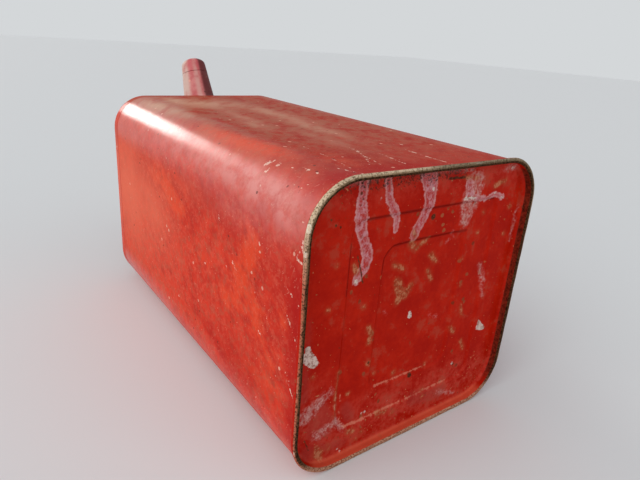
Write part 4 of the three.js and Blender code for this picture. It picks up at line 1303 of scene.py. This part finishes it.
# Painted shade along the upper edges of the pressed steps
CREASES = (
    ((43, 50, 1), (40, 52, 1.2), (12, 52.4, 1.4), (-20, 52.4, 1.2), (-46, 52, 1)),
    ((25.8, 24, 0.8), (25.6, 31.5, 1), (20.9, 36.6, 1.2), (4, 37.2, 1.4), (-29, 36.8, 1)),
    ((47, 42, 0.6), (47, 18, 0.6)))
CHIPS = (
    ((66.2, -3.1, 3), (65.2, -8.1, 6.5), (62.2, -12.1, 5)),
    ((-53.3, -21.1, 1.2), (-54.8, -25.6, 5), (-59.8, -28.1, 2.4)), ((2.1, -3.1, 2), (1.8, -5.1, 3.2)),
    ((-22.8, 54.5, 2), (-29.8, 53.9, 2)), ((-45.8, 54.9, 1.6),), ((-52.5, 51.8, 2),),
    ((-37.8, -45.8, 2.2),), ((41.7, 23.4, 2.6),), ((1.2, 61.9, 1.8),), ((-55.8, 67.9, 2.4),),
    ((28.9, -53.1, 1.6),), ((26.8, -52.9, 1.8),), ((33.2, 60.9, 1.2),), ((43.5, -68.4, 1.4),),
    ((41.7, -70, 1.2),), ((11.2, -52.5, 1.2),), ((13.2, 33.9, 1),), ((7.5, -39.4, 1.2),),
    ((-66.3, -61.1, 1.2),))
RUSTS = (
    ((43.7, 31.4, 2), (41.7, 27.9, 3)), ((9.2, 41.9, 2.4), (7.7, 39.4, 2.4)),
    ((-19.8, 65.3, 1.4), (-29.8, 64.2, 1.8)), ((-44.8, 58.9, 2.6), (-52.5, 60.9, 2.2)),
    ((-40.8, 44.9, 1.8),), ((-60.8, 45.9, 2.4),), ((-60.4, 30.3, 2.4),), ((56.8, 13.2, 2),),
    ((18.2, 26.4, 2.4), (11.2, 22.9, 2)), ((14.2, 16.5, 5), (10.8, 9.4, 6), (12.6, 5.4, 3)),
    ((4, 13, 3), (8, 8, 4)), ((-6.8, 26.9, 3), (-10.8, 22.9, 2.4)), ((-6.3, 18.4, 2.4), (-9.8, 12.9, 2)),
    ((8.7, 35.4, 4), (4.7, 32.4, 3), (-2, 36, 2)),
    ((30.7, -3.1, 2.4), (28.2, -7.1, 3), (29.2, -11.6, 2.6)), ((27.9, -23.9, 3),), ((8.3, -36.2, 2.6),),
    ((-14.8, -39.1, 1.8),), ((57, -61, 2), (55.2, -65.5, 5), (54.4, -69.1, 3)),
    ((46.9, -22.2, 1.8), (47.4, -28, 0.8)), ((47.4, -29, 0.8), (47.9, -38, 1.6)),
    ((47.6, -40, 0.8), (46.9, -47, 1.2)), ((18.5, -57.3, 3), (13, -58, 2)),
    ((37, -60.6, 3), (34, -61.5, 2)), ((28.7, -64.3, 2),), ((31.6, -67.6, 1.6),), ((7.3, -61, 1.8),),
    ((-14.8, -55.1, 2),), ((-15.4, -59.1, 1.6),), ((39.3, -37.2, 2),), ((50, -62, 1), (49, -66, 1)),
    ((-38.8, 33.9, 2),), ((35.2, 8.9, 2.2),), ((-30, -20, 2), (-34, -24, 2)), ((54.2, 33.9, 1.6),),
    ((62.2, -19.1, 2),), ((22.2, -32.1, 1.6),), ((-29.8, 20.9, 1.4),), ((-32.8, 4.9, 1.6),),
    ((-42, -32, 2), (-45, -38, 1.6)), ((-36, -8, 1.6), (-38, -14, 1.4)))
GLINTS = (
    ((66.5, 69, 1.8), (68.5, 66, 1.4)), ((72.6, 56.5, 1.6), (73.2, 53, 1.2)), ((62.5, 72, 0.9),),
    ((73.6, 45, 1), (73.7, 43, 0.8)), ((73.4, -52, 1.6), (73.4, -56, 1.2)), ((20, 73.2, 0.8),),
    ((-20, 73.3, 1), (-24, 73.3, 0.8)), ((10, -73.2, 0.9),), ((30, -73.4, 0.8),), ((-10, -73.4, 1),),
    ((-46, -72.6, 1),), ((73.5, 12, 0.8),), ((73.5, -20, 0.9),))
DIRTS = (
    ((44.7, 68.9, 1.4),), ((43.2, 66.9, 1.2),), ((44.4, 64.5, 1.6),), ((43.2, 61.9, 1.2),),
    ((44.2, 59.5, 1.4),), ((42.8, 65.7, 0.8),), ((42.2, 35.9, 0.9), (39.7, 28.9, 0.8), (37.5, 21.9, 0.8)),
    ((-8.8, 65.9, 1.6), (-19.8, 65.3, 1.2)), ((-2.6, 47.6, 3.2),), ((58.9, 54.9, 1.4),),
    ((56.2, 51.9, 1.4),), ((54.7, 54.4, 1.2),), ((53.9, 50.9, 1.4),), ((-3.2, -41.8, 3),),
    ((64.3, -53.4, 1), (61.4, -60.8, 0.9)), ((27.9, -23.4, 1.6),), ((14.2, 66.9, 1),),
    ((10.2, 67.9, 0.9),), ((20.2, 67.9, 1),), ((26.2, 66.9, 0.8),), ((34.2, 68.9, 1),),
    ((37.2, 66.9, 0.8),), ((-1.8, 67.9, 1.2),), ((50.2, 64.9, 1.2),), ((47.2, 60.9, 0.8),),
    ((56.2, 34.9, 1),), ((29.2, 13.9, 0.9),), ((-11.8, 55.9, 0.8),), ((-15.8, 43.9, 0.9),),
    ((48.2, -8.1, 1.2),), ((-44.8, -9.1, 0.9),))

# Strokes on the outside: x, distance round the section and width. That distance is z on the left side,
# grows over the long edge and goes on across the side that faces up.
FLECKS = (
    ((4, 49, 1.4), (5.5, 45, 1.2), (3.5, 43.5, 1.6)), ((8, 41, 1.4), (8, 39, 1), (5, 38.5, 2)),
    ((54, 70.5, 1.8), (52, 71.6, 1.2), (49, 74, 1.8)), ((51, 69.6, 1.4), (49.5, 72.6, 1.4)),
    ((47, 67.6, 1.8), (47, 70.4, 1.2)), ((44.5, 71.4, 1), (43, 72.6, 2.2)),
    ((46, 73.6, 0.8), (43, 74.4, 1)), ((47, 64, 1.4),), ((44, 60.4, 1.1),),
    ((34, 74.6, 1.4), (32.5, 75, 1.1)), ((30, 75.2, 1), (28, 76, 1.2), (24.4, 76.8, 1.5)),
    ((19, 77.3, 2),), ((21, 80.9, 1.3),), ((24, 83, 1.2),), ((16, 84.8, 1.3),),
    ((40, 71.5, 0.5), (32, 70.5, 0.4), (25, 67.9, 0.6), (19, 65, 0.4)),
    ((19, 66.4, 0.5), (15, 71.6, 0.5)), ((31, 55.2, 1.4), (29, 56, 0.8)),
    ((59, 48.9, 1.4), (57, 50, 0.8)), ((73, 39.7, 1.6),), ((7, 55.6, 1.2), (9, 57, 0.8)),
    ((39, 36.5, 0.9), (38, 34.3, 0.9), (36, 36, 0.7)), ((16, 24.2, 0.6), (12, 22.5, 0.7), (8, 21.1, 0.8)),
    ((5, 19.6, 1.3),), ((13, 29.7, 1),), ((33, 16.1, 1.4),), ((29, 24.7, 0.9),),
    ((81, 38, 1), (79, 32, 0.7)), ((79, 20, 1.1),), ((65, 16, 1.4), (60, 13, 1)),
    ((73, 12, 1), (70, 10, 0.7)), ((37, -9, 1), (33, -10, 0.7)),
    ((14, 12, 0.6), (8, 6, 0.7), (3, -2, 0.6)), ((13, -16, 0.5), (2, -30, 0.6)), ((30, 2, 1),),
    ((170, -11, 2),), ((137, -36, 1.4),), ((120, -12, 1.2),), ((98, 2, 1.6),), ((46, -30, 1),),
    ((27, -39, 1.2),), ((37, -47, 1),), ((20, -24, 0.9),), ((9, -44, 1.2),), ((3, -7, 1),),
    ((8, -20, 1),), ((50, 154, 2.4),), ((44, 149, 0.4), (36, 146, 1), (17, 144, 1), (4, 145, 0.8)),
    ((38, 126, 0.6), (22, 123, 0.9), (7, 121, 0.7)), ((66, 98, 0.4), (36, 95.4, 0.7), (12, 91, 0.5)),
    ((53, 119.8, 0.5), (33, 114, 0.6), (13, 108.5, 0.5)), ((20, 85, 0.6), (12, 88, 0.8), (4, 91, 0.6)),
    ((48, 120, 0.6), (30, 112, 0.7), (20, 106, 0.5)), ((15, 139, 1),), ((24, 98, 1),), ((18, 104, 1.2),),
    ((34, 132, 0.9),), ((12, 130, 1.2),), ((60, 90, 1),))
FILTHS = (
    ((19, 66, 2.2), (17, 65.4, 1.4)), ((20, 67.4, 1.2),), ((8, 76.5, 1.6),), ((41, 78.4, 1.8),),
    ((29, 68, 0.8),), ((15, 96, 1),), ((7, 54, 0.9),), ((52, 55, 0.8),), ((88, 62, 0.8),),
    ((70, 84, 0.9),), ((6, 100, 0.8),), ((36, 88, 0.9),), ((52, 100, 0.8),))

# Soft patches on the outside: x and distance round the section of the middle, reach along each, share
ORANGES = (
    (160, 34, 24, 7, 0.9), (140, 24, 20, 6, 0.8), (46, 30, 10, 12, 1.0), (56, 10, 12, 12, 0.9),
    (70, -6, 14, 7, 0.7), (38, -4, 8, 12, 0.8), (24, -26, 8, 14, 0.6), (62, 82, 22, 7, 0.9),
    (90, 78, 20, 6, 0.6), (16, 8, 6, 8, 0.5), (44, -34, 14, 6, 0.5), (30, 96, 16, 8, 0.5),
    (100, 4, 16, 5, 0.5), (118, 77, 34, 5, 0.7), (66, 78, 24, 6, 0.3))
DEEPS = (
    (7, 22, 7, 22, 0.8), (6, -14, 6, 22, 0.7), (10, 76, 9, 14, 0.4), (8, 110, 8, 40, 0.7),
    (60, -36, 34, 12, 0.5), (34, 50, 10, 8, 0.3), (5, -44, 5, 14, 0.6), (92, 42, 20, 10, 0.4))
# Painted sheen: paler, hazy red towards the far end of the left side and the long edge
SALMONS = (
    (236, 10, 50, 46, 0.95), (170, 10, 30, 26, 0.5), (120, 40, 40, 8, 0.3), (90, 74, 60, 7, 0.4))
# Tan on the upper side: dust, with painted sheen at the far end and beside the long edge
TANS = (
    (212, 112, 26, 26, 0.8), (232, 98, 16, 10, 0.5), (160, 142, 40, 10, 0.6), (150, 112, 30, 6, 0.4),
    (100, 136, 30, 7, 0.5), (70, 120, 30, 6, 0.3), (120, 104, 20, 5, 0.4), (215, 78, 34, 6, 0.8),
    (165, 82, 30, 6, 0.5))
# Painted sheen along the long edge near the seam
BLOOMS = (
    (18, 58, 22, 10, 0.75), (48, 60, 24, 8, 0.6), (84, 60, 30, 7, 0.5), (140, 60, 60, 8, 0.5),
    (60, 44, 40, 9, 0.25))

# Depth that is kept where no stroke is near, in millimetres
FAR_OUTSIDE = -30.0


def stroke_depth(strokes, across, up):
    """How far inside the nearest stroke each point lies, in millimetres, negative outside: the
    stroke's half width, which goes evenly from turn to turn, less the distance from its line."""
    depth = np.full(across.shape, FAR_OUTSIDE)
    for stroke in strokes:
        turns = np.array(stroke if len(stroke) > 1 else stroke * 2, float)
        for first, last in zip(turns[:-1], turns[1:]):
            run = last - first
            along = (across - first[0]) * run[0] + (up - first[1]) * run[1]
            share = np.clip(along / max(run[0]**2 + run[1]**2, NOTHING), 0, 1)
            away = np.hypot(across - first[0] - run[0] * share, up - first[1] - run[1] * share)
            depth = np.maximum(depth, (first[2] + run[2] * share) / 2 - away)
    return depth


def patch_sum(patches, along, girth):
    """Sum of the patches at each point: a share times a bell curve of the distance from a middle."""
    total = np.zeros(along.shape)
    for x, place, reach_x, reach, share in patches:
        total += share * np.exp(-((along - x) / reach_x)**2 - ((girth - place) / reach)**2)
    return total


def section_girth(y, z):
    """Distance round the section from the middle of the left side, upwards: straight on the left
    side, an arc on the long edge, straight across the upper side, and downwards below zero."""
    flat = HALF_WIDTH - CORNER_RADIUS
    past_y, above, below = (np.maximum(place - flat, 0) for place in (y, z, -z))
    bend, bend_under = (CORNER_RADIUS * np.arctan2(past, np.maximum(past_y, NOTHING))
                        for past in (above, below))
    across = flat + CORNER_RADIUS * math.pi / 2 + flat - y
    under = np.minimum(y, flat) - 2 * flat - bend_under
    rising = np.where(y > flat, np.clip(z, -flat, flat) + bend, across)
    on_edge = np.hypot(past_y, above) > 0
    return np.where(on_edge & (z > -flat), rising, np.where(z > 0, across, under))


def mark_body(made):
    """Keeps the outside's patches, among them painted sheen, and marks with its mesh, and its gloss: on the
    long edges only, more towards the far end and less where the upper side starts."""
    x, y, z = can_points(made)
    girth = section_girth(y, z)
    store(made, orange=patch_sum(ORANGES, x, girth), deep=patch_sum(DEEPS, x, girth))
    for name, patches in (("salmon", SALMONS), ("tan", TANS), ("bloom", BLOOMS)):
        store(made, **{name: np.minimum(patch_sum(patches, x, girth), 1)})
    corner = np.minimum(np.abs(y), np.abs(z)) - HALF_WIDTH + CORNER_RADIUS
    edge = smooth(corner, -9, 5) * (1.1 + 0.7 * smooth(x, 100, 190))
    store(made, gloss=edge * (1 - 0.65 * smooth(girth, 68, 84)),
          fleck=stroke_depth(FLECKS, x, girth), dirt=stroke_depth(FILTHS, x, girth))


def mark_top(made):
    """Carries the painted sheen of the body's left side on over the top's edge, and fades it out on the flat.
    """
    x, y, z = can_points(made)
    faded = np.minimum(patch_sum(SALMONS, x, section_girth(y, z)), 1)
    store(made, salmon=faded * smooth(y, 50, 68))


def mark_cap(made):
    """Wear on the screw cap: highest on its ribs and on its lower rim."""
    radius = np.hypot(*(can_points(made) - FILLER_PLACE[:, None])[1:])
    outer = NECK_RADIUS + BEAD_RISE + CLEARANCE + CAP_WALL
    store(made, bare=smooth(radius, outer + 0.45 * CAP_RIB_DEPTH, outer + CAP_RIB_DEPTH))


def mark_pan_face(made):
    """Keeps the marks on the bottom's face with its mesh."""
    x, y, z = can_points(made)
    outside = square_distance(y, z, HALF_WIDTH, CORNER_RADIUS)
    face = x > COUNTERSINK_DEPTH - COUNTERSINK_FILLET
    # Among these strokes, the lines along the pressed steps hold painted shade above and painted highlight
    # below
    for name, strokes in (("drip", DRIPS), ("smear", SMEARS), ("chip", CHIPS), ("rust", RUSTS),
                          ("dirt", DIRTS), ("scuff", SCUFFS), ("crease", CREASES), ("dull", DULLS)):
        store(made, **{name: np.where(face, stroke_depth(strokes, y, z), FAR_OUTSIDE)})
    worn = smooth(y, 44, 62) * smooth(-z, 10, 40) + smooth(-z, 34, 56) + 0.7 * smooth(z, 54, 66)
    # Painted light on the countersink's lower wall, which faces up
    ledge = smooth(-z, 66, 69) * smooth(-x, -COUNTERSINK_DEPTH, 1 - COUNTERSINK_DEPTH)
    store(made, worn=np.minimum(1, worn) * face, grime=smooth(z, 61, 68) * smooth(y, -40, -10) * face,
          ledge=ledge * (outside > -8))


def mark_seam(made):
    """Keeps the seam's marks with the bottom's mesh. It is bare on its crest, darkest along its inner edge,
    where painted shade and dirt lie, and the wall inside it is rusty on the right."""
    x, y, z = can_points(made)
    outside = square_distance(y, z, HALF_WIDTH, CORNER_RADIUS)
    reach = 1.0 + 2.0 * smooth(z, 10, 50) * smooth(y, -60, 20)
    foot = smooth(-z, 60, 70)
    wall = smooth(-y, 58, 66) * smooth(z, -74, -48) * smooth(outside, -2.4, -1.6)
    # The dark along the crest's inner edge is painted shade and dirt
    store(made, bare=smooth(reach - x, 0, 0.5), glint=stroke_depth(GLINTS, y, z),
          high=smooth(z, 24, 62), foot=foot, inner=smooth(-outside, -0.2, 0.5) * (1 - foot),
          edge=smooth(outside, 0.5, 0.9), sooty=smooth(z, 50, 64) * smooth(-y, -20, 0),
          wall=wall * smooth(-x, 0.6 - COUNTERSINK_DEPTH, 1.8 - COUNTERSINK_DEPTH))


def mark_pan(made):
    """Keeps all of the bottom's marks with its mesh."""
    mark_pan_face(made)
    mark_seam(made)


def mark_spout(made):
    """Keeps how far round the spout each point lies: painted highlight over wear on its left and near side,
    and painted shade on its right side and at its foot."""
    place = can_points(made).T - SPOUT_ROOT
    angle = np.arctan2(place[:, 1], -(place @ SPOUT_ACROSS))
    # A faint painted highlight just before the painted shade on the right
    right = 0.4 * smooth(angle, 0.1, 0.25) * smooth(-angle, -0.6, -0.35)
    store(made, rubbed=smooth(angle, 0.75, 1.15) * smooth(-angle, -2.4, -1.9) + right,
          shaded=smooth(-angle, -0.1, 0.15) * smooth(angle, -2.7, -1.6),
          cap=smooth(place @ SPOUT_AXIS, SPOUT_LENGTH - 0.4, SPOUT_LENGTH + 0.4))


# The can

can_paint = can_finish("faded_red_paint")
plain_red = plain_finish("top_red_paint")
spout_paint = spout_finish("spout_red_paint")
pan_paint = pan_finish("bottom_red_paint")
aged_steel = worn_metal("aged_steel", STEEL_TONES, 0.75)
grey_solder = worn_metal("grey_solder", SOLDER_TONES, 0.7)
gasket_rubber = matt("gasket_rubber", RUBBER_TONES, 300.0, 0.85)
sealing_compound = matt("sealing_compound", COMPOUND_TONES, 300.0, 0.85)
cork = matt("cork", CORK_TONES, 700.0, 0.9)
grip_wood = turned_wood()


def add_piece(made, finish, body, node, crease=35, mark=None):
    """Shades a piece, keeps its marks with its mesh, and dresses it."""
    finished(made, crease)
    if mark:
        mark(made)
    dress(made, finish, body, node)


add_piece(body_sheet(), can_paint, "can", "body_shell", mark=mark_body)
add_piece(bottom_pan(), pan_paint, "can", "bottom_panel", crease=50, mark=mark_pan)
add_piece(top_shell(), plain_red, "can", "top_panel", mark=mark_top)
add_piece(joint_bead(), plain_red, "can", "top_joint_solder")
add_piece(filler_neck(), aged_steel, "can", "filler_neck")
add_piece(neck_fillet(), grey_solder, "can", "neck_solder", crease=60)
add_piece(filler_cap(), plain_red, "filler_cap", "filler_cap", crease=40, mark=mark_cap)
add_piece(spout_cone(), spout_paint, "can", "spout_tube", crease=50, mark=mark_spout)
add_piece(spout_plug(), spout_paint, "spout_cap", "spout_cap", crease=50, mark=mark_spout)
add_piece(spout_fillet(), spout_paint, "can", "spout_root_solder", crease=60, mark=mark_spout)
add_piece(cork_sleeve(), cork, "spout_cap", "spout_cap_cork")
add_piece(bail_wire(), aged_steel, "bail", "bail_wire", crease=60)
add_piece(bail_grip(), grip_wood, "grip", "bail_grip", crease=50)
add_piece(bail_ear(1), aged_steel, "can", "bail_ear_left")
add_piece(bail_ear(-1), aged_steel, "can", "bail_ear_right")
for rivet_number, rivet_place in enumerate(RIVET_PLACES, 1):
    add_piece(ear_rivet(rivet_number, rivet_place), aged_steel, "can", f"ear_rivet_{rivet_number}",
              crease=50)
for node, finish in (("cap_gasket", gasket_rubber), ("seam_compound", sealing_compound)):
    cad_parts[node].data.materials.clear()
    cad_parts[node].data.materials.append(finish)

# Floor, light and camera

FLOOR_REACH = 6.0
SKY_STRENGTH = 0.48
# Lamps: azimuth from +X towards +Y, height above the floor, strength, width of the disc, and tint.
# Angles are in degrees
LAMPS = (("window", 10, 16.5, 0.7, 15, (1.0, 0.97, 0.93)),
         ("overhead", 98, 36, 1.4, 60, (1.0, 0.99, 0.97)),
         ("front", 190, 30, 0.4, 60, (1.0, 1.0, 1.0)))

scene = bpy.context.scene
scene.view_settings.view_transform = "Standard"


def stage_floor():
    """Flat pale floor under the can, large enough to fill the view."""
    mesh = bpy.data.meshes.new("floor")
    corners = [(x * FLOOR_REACH, y * FLOOR_REACH, 0) for x, y in ((-1, -1), (1, -1), (1, 1), (-1, 1))]
    mesh.from_pydata(corners, [], [(0, 1, 2, 3)])
    made = bpy.data.objects.new("floor", mesh)
    scene.collection.objects.link(made)
    paper = Finish("floor_paper", Base_Color=FLOOR_GREY, Roughness=0.9, Specular_IOR_Level=0.1)
    mesh.materials.append(paper.material)


def sun(name, azimuth, height, strength, width, tint):
    """Distant lamp in the direction given."""
    turn, rise = math.radians(azimuth), math.radians(height)
    towards = Vector((math.cos(rise) * math.cos(turn), math.cos(rise) * math.sin(turn), math.sin(rise)))
    light = bpy.data.lights.new(name, "SUN")
    light.energy, light.angle, light.color = strength, math.radians(width), tint
    made = bpy.data.objects.new(name, light)
    scene.collection.objects.link(made)
    made.rotation_euler = towards.to_track_quat("Z", "Y").to_euler()


def studio_world():
    """Even soft light, with a pale backdrop for the camera and for reflections."""
    world = bpy.data.worlds.new("studio")
    scene.world = world
    world.use_nodes = True
    nodes = Nodes(world.node_tree)
    camera_ray, glossy_ray, through_ray = (
        nodes.node("ShaderNodeLightPath", out=ray)
        for ray in ("Is Camera Ray", "Is Glossy Ray", "Is Transmission Ray"))
    plain = nodes.tree.nodes["Background"]
    plain.inputs["Color"].default_value = SKY_WHITE
    plain.inputs["Strength"].default_value = SKY_STRENGTH
    backdrop = nodes.node("ShaderNodeBackground", {}, {"Color": BACKDROP_GREY})
    seen = camera_ray | (glossy_ray | through_ray)
    mixed = nodes.node("ShaderNodeMixShader", {}, {0: seen, 1: Value(nodes, plain.outputs[0]), 2: backdrop})
    nodes.tree.links.new(mixed.socket, nodes.tree.nodes["World Output"].inputs["Surface"])


stage_floor()
studio_world()
for lamp in LAMPS:
    sun(*lamp)

# The camera stands where the outline in the photograph puts it, in millimetres on the can's axes
CAMERA_PLACE = (-152.729, 183.138, 122.8)
CAMERA_RIGHT = (-0.579207, -0.812116, 0.070621)
CAMERA_DOWN = (-0.329654, 0.154114, -0.931438)
CAMERA_FORWARD = (0.745552, -0.562775, -0.356982)
FOCAL_PIXELS = 529.35
IMAGE_WIDTH = 640
SENSOR_WIDTH = 36.0
CLIP_NEAR, CLIP_FAR = 0.01, 50

camera = bpy.data.objects.new("camera", bpy.data.cameras.new("camera"))
scene.collection.objects.link(camera)
scene.camera = camera
camera.data.sensor_width = SENSOR_WIDTH
camera.data.lens = FOCAL_PIXELS / IMAGE_WIDTH * SENSOR_WIDTH
camera.data.clip_start, camera.data.clip_end = CLIP_NEAR, CLIP_FAR
camera_matrix = np.eye(4)
camera_matrix[:3, :3] = np.stack([CAMERA_RIGHT, -np.array(CAMERA_DOWN), -np.array(CAMERA_FORWARD)], -1)
camera_matrix[:3, 3] = placed(CAMERA_PLACE)
camera.matrix_world = Matrix(camera_matrix.tolist())
